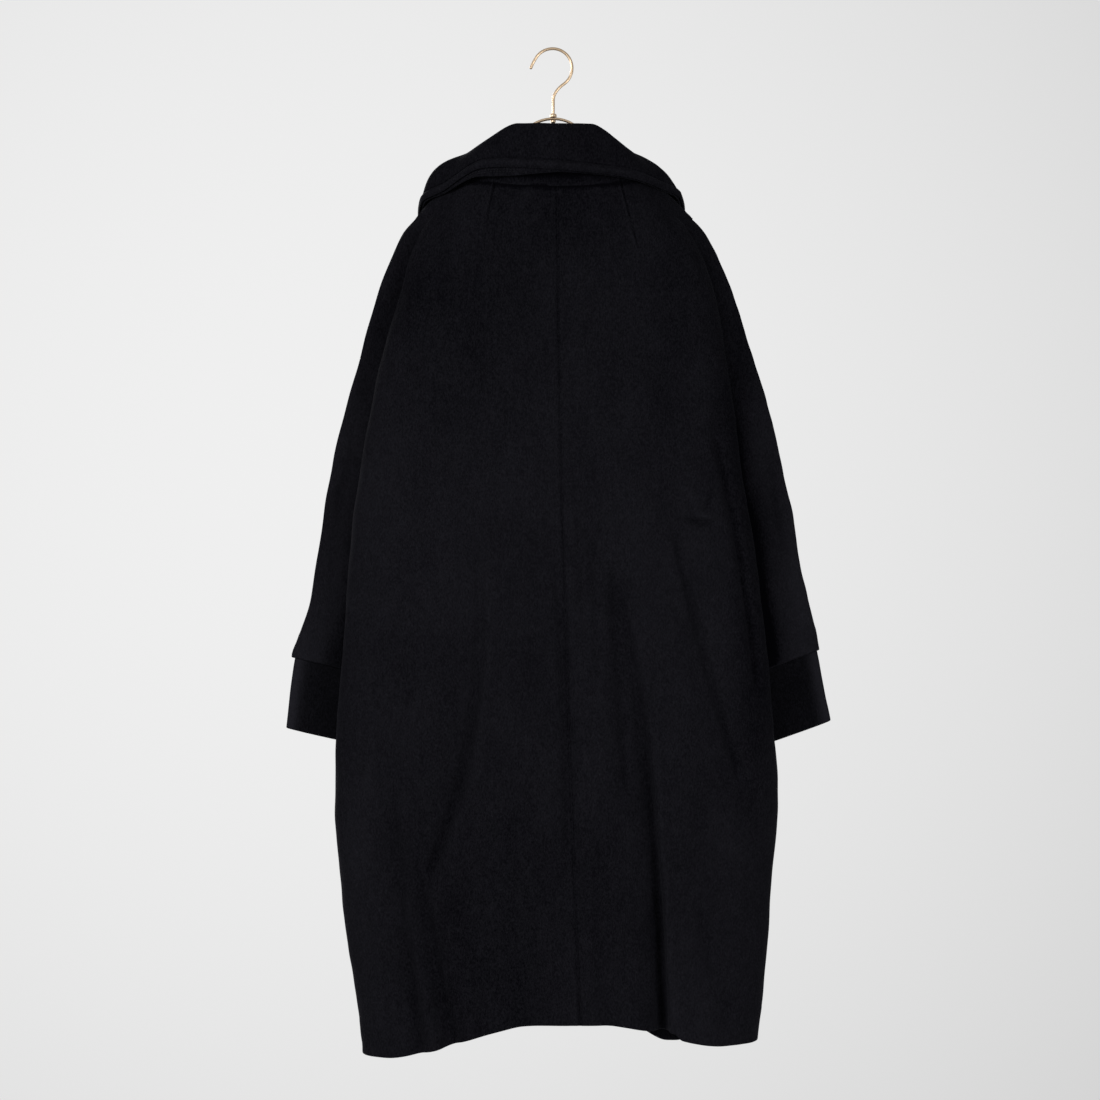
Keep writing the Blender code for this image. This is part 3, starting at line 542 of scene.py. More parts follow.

# Broad patches of painted light and shade on the back, with painted shade under the collar and beside the
# right
# sleeve: middle, half width, half height, and how much paler or deeper
PAINTED_PATCH_COLUMNS = ("x", "z", "wide", "high", "share")
PAINTED_PATCHES = table(
    PAINTED_PATCH_COLUMNS,
    (0, -225, 150, 60, -0.30),
    (-185, -350, 60, 90, -0.26),
    (175, -330, 60, 110, -0.20),
    (-85, -375, 65, 80, -0.24),
    (115, -270, 40, 80, 0.11),
    (-188, -505, 45, 60, -0.18),
    (235, -480, 30, 80, -0.18),
    (250, -520, 26, 120, -0.35),
    (5, -620, 50, 220, 0.12),
    (-245, -620, 30, 100, 0.20),
    (-150, -690, 110, 150, 0.16),
    (150, -680, 90, 150, 0.16),
    (172, -740, 40, 90, 0.12),
    (232, -860, 28, 90, 0.14),
    (276, -760, 30, 240, -0.40),
    (304, -598, 32, 95, -0.55),
    (338, -800, 32, 30, -0.30),
    (-20, -1150, 90, 180, -0.14),
    (-110, -1230, 85, 170, -0.26),
    (-262, -1150, 42, 240, 0.29),
    (50, -1290, 50, 50, 0.15),
    (232, -1200, 60, 140, 0.14),
)

# Studio
FLOOR_Z = -1700.0
FLOOR_RADIUS = 950.0
WORLD_PALE = 0.851
WORLD_SLOPE = -0.24
WORLD_DIM = -1.14
WORLD_RISE = 0.10
WORLD_RANGE = (0.66, 0.87)
WORLD_LIGHT = 0.03
LIGHTS = (
    ("left_lamp", (-2.60, -2.10, 0.30), (0.0, 0.0, -0.70), 1.2, 62.0),
    ("front_lamp", (-1.45, -3.00, 0.40), (0.0, 0.0, -0.70), 1.3, 26.0),
    ("right_lamp", (1.90, -2.40, -1.00), (0.0, 0.0, -0.70), 1.3, 49.0),
    ("far_lamp", (-2.00, 2.60, 0.50), (0.0, 0.0, -0.70), 1.4, 90.0),
)


def mix(start, end, share):
    """The point that lies a share of the way from start to end."""
    return start + (end - start) * share


def ease(share):
    """A cubic ease from 0 to 1, flat at both ends."""
    share = np.clip(share, 0.0, 1.0)
    return share * share * (3.0 - 2.0 * share)


def bell(off, wide):
    """A bell: e to the power of minus the square of the way out, counted in its widths."""
    return np.exp(-((off / wide) ** 2))


def once_round(sides):
    """Even angles once round a circle."""
    return np.linspace(0.0, 2.0 * math.pi, sides, endpoint=False)


def unit(vectors):
    """Vectors divided by their lengths."""
    return vectors / np.maximum(np.linalg.norm(vectors, axis=-1, keepdims=True), TINY)


def read(rows, column, key):
    """A table's column at a key, along a monotone cubic through its rows."""
    order = np.argsort(rows["key"])
    knots = rows["key"][order]
    values = rows[column][order]
    steps = np.diff(knots)
    slopes = np.diff(values) / steps
    turning = slopes[:-1] * slopes[1:] <= 0.0
    slope_sum = np.where(turning, 1.0, slopes[:-1] + slopes[1:])
    inner = np.where(turning, 0.0, 2.0 * slopes[:-1] * slopes[1:] / slope_sum)
    tangents = np.concatenate((slopes[:1], inner, slopes[-1:]))
    key = np.clip(key, knots[0], knots[-1])
    row = np.clip(np.searchsorted(knots, key) - 1, 0, len(steps) - 1)
    share = (key - knots[row]) / steps[row]
    bend = share * (1.0 - share) * ((1.0 - share) * tangents[row] - share * tangents[row + 1])
    return mix(values[row], values[row + 1], ease(share)) + steps[row] * bend


def hermite(start, end, start_way, end_way, share):
    """A cubic from start to end that leaves along start_way and arrives along end_way."""
    bend = share * (1.0 - share) * ((1.0 - share) * start_way - share * end_way)
    return mix(start, end, ease(share)) + bend


def rows_of(named):
    """The rows of a table, each as a dictionary of its columns."""
    return [{column: values[row] for column, values in named.items()} for row in range(len(named["key"]))]


# The coat's form


def fold_depth(folds, x, z, fade_share=FOLD_FADE):
    """Depth of the folds at a point: bell-shaped troughs along parabolas x(z), faded at both ends."""
    depth = np.zeros(np.broadcast(x, z).shape)
    for fold in rows_of(folds):
        top, middle, low = fold["z_top"], fold["z_mid"], fold["z_low"]
        path = fold["x_top"] * (z - middle) * (z - low) / ((top - middle) * (top - low))
        path = path + fold["x_mid"] * (z - top) * (z - low) / ((middle - top) * (middle - low))
        path = path + fold["x_low"] * (z - top) * (z - middle) / ((low - top) * (low - middle))
        share = (top - z) / (top - low)
        fade = ease(share / fade_share) * ease((1.0 - share) / fade_share)
        across = x - path
        wide = np.where(across < 0.0, fold["wide_left"], fold["wide_right"])
        deep = mix(fold["deep_top"], fold["deep_low"], share)
        depth = depth + fade * deep * bell(across, wide)
    return depth


def centre_x(z):
    """The centre back seam's place at a height: it drifts right by a power of the fall."""
    fall = np.clip((NECK_BACK_Z - z) / CENTRE_LENGTH, 0.0, 1.0)
    return CENTRE_TOP_X + CENTRE_DRIFT * fall ** CENTRE_BOW


def front_turn(half_width, along):
    """Angle along a front, from its edge past the centre to its side."""
    return mix(-np.arcsin(FRONT_LAP / half_width), math.pi / 2.0, along)


def body_plan(side, face, along, z, tip):
    """Plan of a body panel from the centre to the tip, where it meets the side seam or becomes the sleeve.

    The back is a quarter of a rounded box, then curls in from its edge to the tip. The front is a bell that
    the sleeve presses flat.
    """
    tip_x, tip_y = tip
    if face == "front":
        turn = front_turn(np.abs(tip_x), 1.0 - (1.0 - along) ** FRONT_SPREAD)
        x = tip_x * np.sin(turn)
        pressed = np.clip(np.cos(turn), 0.0, 1.0) ** read(BODY, "squeeze", z)
        y = tip_y + (read(BODY, "front", z) - tip_y) * pressed
        return x, y - fold_depth(FOLDS[face], x, z) * pressed
    edge_x = SIDES[side] * read(BODY, side, z)
    edge_y = read(BODY, "side_y", z)
    turn = np.clip(along / EDGE_SHARE, 0.0, 1.0) * math.pi / 2.0
    swell = np.clip(np.cos(turn), 0.0, 1.0) ** ROUNDNESS
    x = mix(centre_x(z), edge_x, np.sin(turn) ** ROUNDNESS)
    y = edge_y - (read(BODY, "back", z) + edge_y) * swell
    y = y + fold_depth(FOLDS[face], x, z) * ease(FOLD_REACH * swell)
    curl = np.clip((along - EDGE_SHARE) / (1.0 - EDGE_SHARE), 0.0, 1.0)
    return x + (tip_x - edge_x) * ease(curl), y + (tip_y - edge_y) * curl


def sleeve_plan(side, face, along, z, tip):
    """Plan of a sleeve's face from the tip to the overarm seam: half an ellipse, tilted from end to end."""
    over_x = SIDES[side] * read(SLEEVE, side, z)
    over_y = read(SLEEVE, "over_y", z)
    swell = FACES[face] * read(SLEEVE, face, z) * np.sin(math.pi * along)
    x = mix(tip[0], over_x, (1.0 - np.cos(math.pi * along)) / 2.0)
    return x, mix(tip[1], over_y, along) + swell


def shoulder_plan(side, face, along, z):
    """Plan of a panel over the shoulder, before the valley opens: one round sweep to the overarm seam."""
    over_x = SIDES[side] * read(SLEEVE, side, z)
    over_y = read(SLEEVE, "over_y", z)
    depth = FACES[face] * read(BODY, face, z)
    if face == "front":
        turn = front_turn(np.abs(over_x), along)
        x = over_x * np.sin(turn)
    else:
        turn = along * math.pi / 2.0
        x = mix(centre_x(z), over_x, np.sin(turn) ** ROUNDNESS)
    swell = np.clip(np.cos(turn), 0.0, 1.0) ** ROUNDNESS
    return x, over_y + (depth - over_y) * swell


def crotch_arc(face, drop):
    """How far a face stands off the underarm's middle: half of a small arc that closes at the underarm."""
    closing = np.clip((drop - 1.0 + CROTCH_SHARE) / CROTCH_SHARE, 0.0, 1.0)
    return FACES[face] * CROTCH_RADIUS * np.sqrt(1.0 - closing ** 2)


def side_tip(side, z):
    """The side seam below the underarm, swinging out to the back's edge."""
    below = UNDERARM_Z - z
    start_x = read(BODY, side, UNDERARM_Z) - UNDERARM_INSET
    end_x = read(BODY, side, z) - SIDE_INSET
    x = SIDES[side] * mix(start_x, end_x, ease((below - SIDE_SWING_WAIT) / SIDE_SWING))
    y = mix(UNDERARM_Y, read(BODY, "side_y", z) + SIDE_SETBACK, ease(below / SIDE_TUCK))
    return x, y


def inner_tip(side, z):
    """The sleeve's underarm seam, moving forward of the body and then down the sleeve's inner edge."""
    below = UNDERARM_Z - z
    start_x = read(BODY, side, UNDERARM_Z) - UNDERARM_INSET
    end_x = read(SLEEVE, side, z) - read(SLEEVE, "width", z)
    x = SIDES[side] * mix(start_x, end_x, ease(below / SLEEVE_SHIFTS))
    return x, mix(UNDERARM_Y, SLEEVE_INNER_Y, ease(below / SLEEVE_PARTS))


def top_edge(side, face, along):
    """A panel's top edge: a quarter of an ellipse along the neckline, then the shoulder seam."""
    sign = SIDES[side]
    neck = np.clip(along / NECK_SHARE, 0.0, 1.0)
    if face == "front":
        turn = front_turn(NECK_HALF_WIDTH, neck)
        x = sign * NECK_HALF_WIDTH * np.sin(turn)
        y = NECK_FRONT_Y * np.cos(turn)
        z = mix(NECK_SIDE_Z, NECK_FRONT_Z, np.clip(np.cos(turn), 0.0, 1.0) ** NECKLINE_BOW)
    else:
        turn = neck * math.pi / 2.0
        x = mix(CENTRE_TOP_X, sign * NECK_HALF_WIDTH, np.sin(turn))
        y = NECK_BACK_Y * np.cos(turn)
        z = mix(NECK_SIDE_Z, NECK_BACK_Z, np.cos(turn) ** 2)
    out = np.clip((along - NECK_SHARE) / (1.0 - NECK_SHARE), 0.0, 1.0)
    shoulder_x = read(SLEEVE, side, SHOULDER_END_Z) - NECK_HALF_WIDTH
    return x + sign * shoulder_x * out, y, z + (SHOULDER_END_Z - NECK_SIDE_Z) * out ** SHOULDER_BOW


def yoke_plan(side, face, along, z, drop):
    """Plan above the underarm: the round sweep gives way to a body and a sleeve with a valley between.

    On the front the underarm's arc fades out by a power of the way from the valley.
    """
    arc = crotch_arc(face, drop)
    tip_x = SIDES[side] * (read(BODY, side, z) - UNDERARM_INSET)
    tip = (tip_x, UNDERARM_Y + arc * (face == "back"))
    body_along = np.clip(along / VALLEY_SHARE, 0.0, 1.0)
    sleeve_along = np.clip((along - VALLEY_SHARE) / (1.0 - VALLEY_SHARE), 0.0, 1.0)
    body = body_plan(side, face, body_along, z, tip)
    sleeve = sleeve_plan(side, face, sleeve_along, z, tip)
    if face == "front":
        body = (body[0], body[1] + arc * body_along ** CROTCH_REACH)
        sleeve = (sleeve[0], sleeve[1] + arc * (1.0 - sleeve_along) ** CROTCH_REACH)
    sweep = shoulder_plan(side, face, along, z)
    is_body = along <= VALLEY_SHARE
    opened = ease((drop - FOLD_STARTS) / (FOLD_IS_DEEP - FOLD_STARTS))
    x = mix(sweep[0], np.where(is_body, body[0], sleeve[0]), opened)
    return x, mix(sweep[1], np.where(is_body, body[1], sleeve[1]), opened)


def lap(side, face, x):
    """How far the right front lies outside the left one where they lap."""
    if face == "back" or side == "left":
        return 0.0
    return LAP_STEP * (1.0 - ease((x - FRONT_LAP) / LAP_FADE))


def yoke(side, face, along, drop):
    """A panel from its top edge to the underarm, rounded over the shoulder's ridge by a quarter ellipse."""
    top_x, top_y, top_z = top_edge(side, face, along)
    z = mix(top_z, UNDERARM_Z, drop)
    x, y = yoke_plan(side, face, along, z, drop)
    start_x, start_y = yoke_plan(side, face, along, top_z, 0.0 * drop)
    near = 1.0 - np.clip(drop / RIDGE_SHARE, 0.0, 1.0)
    ridge = 1.0 - np.sqrt(1.0 - near ** 2)
    x = x + (top_x - start_x) * ridge
    y = y + (top_y - start_y) * ridge
    return np.stack((x, y + lap(side, face, x), z), axis=-1)


def hem_height(side, face, x):
    """The hem's height: level in the middle, easing down to the side seam."""
    reach = ease((np.abs(x - HEM_CENTRE_X) - HEM_FLAT) / HEM_REACH[side])
    return mix(HEM_Z[face], HEM_SIDE_Z[side], reach)


def hem_wave(face, x):
    """How far the hem rises above that height beside the deepest fold, or hangs below it on the front."""
    wave = HEM_WAVE[face]
    wide = np.where(x < wave["x"], wave["wide_left"], wave["wide_right"])
    return wave["rise"] * bell(x - wave["x"], wide)


def body_below(side, face, along, drop):
    """A panel's body from the underarm to the hem."""
    hem_x = body_plan(side, face, along, HEM_LEVEL, side_tip(side, HEM_LEVEL))[0]
    z = mix(UNDERARM_Z, hem_height(side, face, hem_x), drop) + hem_wave(face, hem_x) * drop ** HEM_WAVE_FADE
    x, y = body_plan(side, face, along, z, side_tip(side, z))
    return np.stack((x, y + lap(side, face, x), z), axis=-1)


def sleeve_below(side, face, along, drop):
    """A panel's half sleeve from the underarm to the cuff seam, which slants down to the inner edge."""
    end_z = SLEEVE_END_Z[side]
    inward = (1.0 + np.cos(math.pi * along)) / 2.0
    slanted = end_z - CUFF_TILT[side] * read(SLEEVE, "width", end_z) * inward
    z = mix(UNDERARM_Z, slanted, drop)
    x, y = sleeve_plan(side, face, along, z, inner_tip(side, z))
    return np.stack((x, y, z), axis=-1)


def cuff_face(side, face, along, rise):
    """One face of a cuff: the sleeve's own section, set inside it and carried down."""
    sign = SIDES[side]
    end_z = SLEEVE_END_Z[side]
    outer = read(CUFF, side, rise)
    width = read(CUFF, "width", rise)
    inward = (1.0 + np.cos(math.pi * along)) / 2.0
    x = sign * (outer - width * inward)
    swell = (read(SLEEVE, face, end_z) - read(CUFF, "inset", rise)) * np.sin(math.pi * along)
    y = mix(SLEEVE_INNER_Y, read(SLEEVE, "over_y", end_z), along) + FACES[face] * swell
    z = end_z + rise - CUFF_TILT[side] * width * inward
    return np.stack((x, y, z), axis=-1)


def collar_base(station):
    """The neck seam under the collar, from the left front round the back to the right front."""
    sign = np.where(station < 0.0, -1.0, 1.0)
    far = np.abs(station)
    back_turn = np.clip(far / SIDE_NECK, 0.0, 1.0) * math.pi / 2.0
    to_front = np.clip((far - SIDE_NECK) / (1.0 - SIDE_NECK), 0.0, 1.0)
    front_cos = np.cos(mix(math.pi / 2.0, NECK_FRONT_END, to_front))
    front_sin = np.sqrt(1.0 - front_cos ** 2)
    at_back = far <= SIDE_NECK
    back_x = mix(CENTRE_TOP_X, sign * NECK_HALF_WIDTH, np.sin(back_turn))
    x = np.where(at_back, back_x, sign * NECK_HALF_WIDTH * front_sin)
    y = np.where(at_back, NECK_BACK_Y * np.cos(back_turn), NECK_FRONT_Y * front_cos)
    back_z = mix(NECK_SIDE_Z, NECK_BACK_Z, np.cos(back_turn) ** 2)
    z = np.where(at_back, back_z, mix(NECK_SIDE_Z, NECK_FRONT_Z, front_cos ** NECKLINE_BOW))
    inward = 1.0 - COLLAR_SETBACK / np.hypot(x, y)
    lift = COLLAR_LIFT + COLLAR_FRONT_LIFT * ease((far - FRONT_LIFT_FROM) / FRONT_LIFT_SPAN)
    return np.stack((x * inward, y * inward, z + lift), axis=-1)


def collar_lines(station):
    """The collar's roll line, its free edge and its reach outward at each station, read from the table."""
    far = np.abs(station)
    sign = np.where(station < 0.0, -1.0, 1.0)
    is_left = station < 0.0
    shift = CENTRE_TOP_X * (1.0 - ease(far / SIDE_NECK))
    roll_x = shift + sign * read(COLLAR, "roll_x", far)
    roll = np.stack((roll_x, read(COLLAR, "roll_y", far), read(COLLAR, "roll_z", far)), axis=-1)
    edge_x = shift + sign * (read(COLLAR, "edge_x", far) + is_left * read(COLLAR, "left_out", far))
    edge_z = read(COLLAR, "edge_z", far) + is_left * read(COLLAR, "left_lift", far)
    edge = np.stack((edge_x, read(COLLAR, "edge_y", far), edge_z), axis=-1)
    reach = read(COLLAR, "reach", far) + is_left * read(COLLAR, "left_reach", far)
    return roll, edge, reach


def collar_hang(station):
    """The way in which the fall arrives at its edge, mostly down."""
    roll, edge, _ = collar_lines(station)
    return (edge - roll) * np.array((FALL_OUT, FALL_OUT, FALL_DOWN))


def collar_point(station, across):
    """The collar's middle surface: up the stand from the neck seam, over the roll and down the fall."""
    base = collar_base(station)
    roll, edge, reach = collar_lines(station)
    outward = unit((edge - base) * np.array((1.0, 1.0, 0.0)))
    up = np.clip(across / STAND_SHARE, 0.0, 1.0)[..., None]
    down = np.clip((across - STAND_SHARE) / (1.0 - STAND_SHARE), 0.0, 1.0)[..., None]
    height = np.linalg.norm(roll - base, axis=-1, keepdims=True)
    stand = hermite(base, roll, height * STAND_RISE * np.array((0.0, 0.0, 1.0)), outward * STAND_REACH, up)
    fall = hermite(roll, edge, outward * reach[..., None], collar_hang(station), down)
    return np.where(across[..., None] <= STAND_SHARE, stand, fall)


# Finer relief of the cloth, as a height along its normal


def dent_depth(dents, x, z):
    """Depth of the short dents at a point: bells that are longer one way, each turned by its angle."""
    depth = np.zeros(np.broadcast(x, z).shape)
    for dent in rows_of(dents):
        turn = math.radians(dent["turn"])
        along = (x - dent["x"]) * math.cos(turn) + (z - dent["z"]) * math.sin(turn)
        across = (z - dent["z"]) * math.cos(turn) - (x - dent["x"]) * math.sin(turn)
        depth = depth + dent["deep"] * bell(along, dent["long"]) * bell(across, dent["wide"])
    return depth


def ripple_depth(x, z):
    """Fine upright ripples: a sine across, inside a bell."""
    middle_x, middle_z = RIPPLE_PLACE
    spread_x, spread_z = RIPPLE_SPREAD
    inside = bell(x - middle_x, spread_x) * bell(z - middle_z, spread_z)
    return RIPPLE_DEPTH * inside * np.sin(2.0 * math.pi * (x - middle_x) / RIPPLE_PITCH)


def dart_depth(x, z):
    """Depth of the neck darts: a narrow groove beside a ridge along a straight line, running out below."""
    depth = np.zeros(np.broadcast(x, z).shape)
    for dart in rows_of(DARTS):
        way_x = dart["x_low"] - dart["x_top"]
        way_z = dart["z_low"] - dart["z_top"]
        length = math.hypot(way_x, way_z)
        along = ((x - dart["x_top"]) * way_x + (z - dart["z_top"]) * way_z) / length
        across = ((x - dart["x_top"]) * way_z - (z - dart["z_top"]) * way_x) / length
        fade = ease((length - along) / DART_RUN_OUT)
        groove = DART_DEPTH * bell(across, DART_WIDTH)
        ridge = DART_RIDGE * bell(across - DART_APART, DART_WIDTH)
        depth = depth + fade * (groove - ridge)
    return depth


def seam_depth(x, z):
    """Depth of the narrow valley along the centre back seam: a bell across it."""
    return SEAM_DIP * bell(x - centre_x(z), SEAM_WIDE)


def lump_height(points):
    """Low lumps: a sum of sines of place, each a plane wave of its own length along the three axes."""
    height = np.zeros(points.shape[:-1])
    for lump in rows_of(LUMPS):
        waves = np.array((1.0 / lump["along_x"], 1.0 / lump["along_y"], 1.0 / lump["along_z"]))
        height = height + lump["high"] * np.sin(2.0 * math.pi * (points @ waves) + lump["phase"])
    return height


def panel_relief(side, face, points, calm):
    """Height of a panel's creases, darts, seam and lumps, and the painted shade down in them, with painted
    light on their ridges.

    Calm fades the creases to nothing at the panel's seams.
    """
    x = points[:, 0]
    z = points[:, 2]
    creases = fold_depth(CREASES[face], x, z, CREASE_FADE) + fold_depth(SLEEVE_CREASES[side], x, z)
    dents = dent_depth(DENTS[face], x, z)
    sewn = np.zeros(len(points))
    if face == "back":
        dents = dents + ripple_depth(x, z)
        sewn = dart_depth(x, z) + seam_depth(x, z)
    height = lump_height(points) - (creases + dents) * calm - sewn
    return height, (CREASE_SHADE * creases + DENT_SHADE * dents) * calm + SEAM_SHADE * sewn


# Sheets, shells and meshes


def weld(grids):
    """One sheet from grids that share edges: its points, its quads, and the first grid point of each."""
    points = []
    quads = []
    count = 0
    for surface, flipped in grids:
        rows, columns = surface.shape[:2]
        index = count + np.arange(rows * columns).reshape(rows, columns)
        corners = (index[:-1, :-1], index[:-1, 1:], index[1:, 1:], index[1:, :-1])
        faces = np.stack(corners, axis=-1).reshape(-1, 4)
        quads.append(faces[:, ::-1] if flipped else faces)
        points.append(surface.reshape(-1, 3))
        count += rows * columns
    points = np.concatenate(points)
    rounded = np.round(points, WELD_DIGITS)
    first, inverse = np.unique(rounded, axis=0, return_index=True, return_inverse=True)[1:]
    return points[first], inverse.reshape(-1)[np.concatenate(quads)], first


def shared_normals(sheets):
    """Normals of each sheet's points, averaged with the sheets that meet it at a seam."""
    points = np.concatenate([sheet[0] for sheet in sheets])
    inverse = np.unique(np.round(points, WELD_DIGITS), axis=0, return_inverse=True)[1].reshape(-1)
    sums = np.zeros((inverse.max() + 1, 3))
    start = 0
    for sheet_points, quads in sheets:
        corners = sheet_points[quads]
        faces = np.cross(corners[:, 2] - corners[:, 0], corners[:, 3] - corners[:, 1])
        for corner in range(4):
            np.add.at(sums, inverse[start + quads[:, corner]], faces)
        start += len(sheet_points)
    ends = np.cumsum([len(sheet[0]) for sheet in sheets])
    return np.split(unit(sums)[inverse], ends[:-1])


def evened(normals, quads):
    """Normals averaged with their neighbours several times, so that an inner wall does not cross itself."""
    starts = quads.reshape(-1)
    ends = np.roll(quads, -1, axis=1).reshape(-1)
    for _ in range(NORMAL_PASSES):
        sums = normals.copy()
        np.add.at(sums, starts, normals[ends])
        np.add.at(sums, ends, normals[starts])
        normals = unit(sums)
    return normals


def open_edges(quads):
    """The directed edges that only one quad uses, and the number of that quad."""
    edges = np.stack((quads, np.roll(quads, -1, axis=1)), axis=-1).reshape(-1, 2)
    owners = np.repeat(np.arange(len(quads)), 4)
    pairs = np.sort(edges, axis=1)
    inverse, uses = np.unique(pairs, axis=0, return_inverse=True, return_counts=True)[1:]
    single = uses[inverse.reshape(-1)] == 1
    return edges[single], owners[single]


def edge_inward(points, quads):
    """The open edges and, for each point on one, the way into the sheet, square to the edge."""
    edges, owners = open_edges(quads)
    starts = points[edges[:, 0]]
    along = unit(points[edges[:, 1]] - starts)
    inward = points[quads[owners]].mean(axis=1) - starts
    inward = unit(inward - along * np.sum(inward * along, axis=1, keepdims=True))
    moves = np.zeros_like(points)
    for end in range(2):
        np.add.at(moves, edges[:, end], inward)
    return edges, unit(moves)


def shell(sheet, normals, lift, thick):
    """A closed wall round a sheet: its outer face lifted along the normals, its inner face that much thick
    below, and round rims, half circles of half the thickness, along the open edges.
    """
    points, quads = sheet
    count = len(points)
    thick = np.broadcast_to(thick, count)[:, None]
    outer = points + normals * np.broadcast_to(lift, count)[:, None]
    edges, inward = edge_inward(outer, quads)
    outer = outer + inward * (thick / 2.0 - SEAM_MEETS)
    inner = outer - evened(normals, quads) * thick
    rim = np.unique(edges)
    slot = np.zeros(count, dtype=int)
    slot[rim] = np.arange(len(rim))
    middle = (outer[rim] + inner[rim]) / 2.0
    rise = (outer[rim] - inner[rim]) / 2.0
    out = -inward[rim]
    out = unit(out - unit(rise) * np.sum(out * unit(rise), axis=1, keepdims=True)) * thick[rim] / 2.0
    angles = np.linspace(0.0, math.pi, RIM_STEPS + 1)[1:-1]
    rounds = [middle + rise * math.cos(angle) + out * math.sin(angle) for angle in angles]
    levels = [edges]
    levels += [2 * count + step * len(rim) + slot[edges] for step in range(RIM_STEPS - 1)]
    levels += [edges + count]
    strips = [np.stack((a[:, 1], a[:, 0], b[:, 0], b[:, 1]), axis=-1) for a, b in zip(levels, levels[1:])]
    faces = np.concatenate((quads, quads[:, ::-1] + count, *strips))
    return np.concatenate((outer, inner, *rounds)), faces


def add_piece(name, points, faces, material, slot):
    """A smooth mesh from points in millimetres and faces, riding on the coat's one body."""
    mesh = bpy.data.meshes.new(name)
    mesh.from_pydata((points * MM).tolist(), [], faces)
    mesh.shade_smooth()
    mesh.materials.append(material)
    piece = bpy.data.objects.new(name, mesh)
    bpy.context.scene.collection.objects.link(piece)
    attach(piece, "root")
    return piece


def add_cloth(node_name, form, painted_shading, material):
    """A cloth piece that stands for a node, which it hides.

    The share of its painted light and shade is kept at each point of the sheet's outer face, and of its
    inner face too where the shares are given twice.
    """
    points, faces = form
    piece = add_piece(node_name + "_cloth", points, faces.tolist(), material, "black_wool")
    shares = np.zeros(len(points), dtype=np.float32)
    shares[:len(painted_shading)] = painted_shading
    piece.data.attributes.new(PAINTED_SHADING, "FLOAT", "POINT").data.foreach_set("value", shares)
    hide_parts(node_name)


# Backs and fronts


def back_columns():
    """Columns across a back, even in the angle whose sine is the way out, closer at seam and dart."""
    low, high = DART_BAND
    angles = np.concatenate((
        SEAM_ANGLES,
        np.linspace(0.0, low, CENTRE_STEPS, endpoint=False)[SEAM_COLUMNS:],
        np.linspace(low, high, DART_STEPS, endpoint=False),
        np.linspace(high, math.pi / 2.0, OUTER_STEPS + 1),
    ))
    turn = np.arcsin(np.clip(np.sin(angles) ** (1.0 / ROUNDNESS), 0.0, 1.0))
    to_edge = EDGE_SHARE * turn / (math.pi / 2.0)
    to_tip = np.linspace(EDGE_SHARE, 1.0, CURL_STEPS + 1)
    return np.concatenate((to_edge, to_tip[1:]))


def yoke_rows():
    """Rows down the yoke: even in angle over the shoulder's ridge, then even in height."""
    angles = np.linspace(0.0, math.pi / 2.0, RIDGE_ROWS + 1)
    over_ridge = RIDGE_SHARE * (1.0 - np.cos(angles))
    below_ridge = np.linspace(RIDGE_SHARE, 1.0, YOKE_ROWS + 1)[1:]
    return np.concatenate((over_ridge, below_ridge))


def body_rows():
    """Rows down the body: even in height, with more of them over the pinch."""
    return np.sort(np.concatenate((np.linspace(0.0, 1.0, BODY_ROWS + 1), np.linspace(*PINCH_ROWS))))


def body_calm(face, along):
    """How far creases may show across a body: fully in the middle, easing to nothing at the side."""
    turn = np.clip(along / (EDGE_SHARE if face == "back" else 1.0), 0.0, 1.0) * math.pi / 2.0
    return ease(FOLD_REACH * np.cos(turn))


def sleeve_light_and_shade(side, face, along):
    """Painted light across a sleeve, paler towards the overarm, and on the back a bell of painted shade
    beside the body.
    """
    lifted = SLEEVE_LIGHT[side] * ease((along - SLEEVE_LIGHT_STARTS) / SLEEVE_LIGHT_SPAN)
    if face == "front":
        return FRONT_LIGHT_SHARE * lifted
    return lifted + SLEEVE_SHADE[side] * bell(along - SLEEVE_LIGHT_STARTS, SLEEVE_SHADE_WIDE[side])


def edge_shade_and_gleam(side, face, along):
    """Painted shade at a back's side edge: a broad dark bell with a narrow painted highlight in it, and
    nothing on a front.
    """
    if face == "front":
        return np.zeros_like(along)
    off = along - EDGE_SHARE
    return EDGE_SHADE[side] * bell(off, EDGE_SHADE_WIDE) + EDGE_GLEAM[side] * bell(off, EDGE_GLEAM_WIDE)


def neck_seam_shade(along, drop):
    """Shade along the neck seam: a narrow bell just under it, over most of the neckline."""
    return NECK_SEAM_SHADE * bell(drop - NECK_SEAM_AT, NECK_SEAM_DROP) * (along < NECK_SHARE)


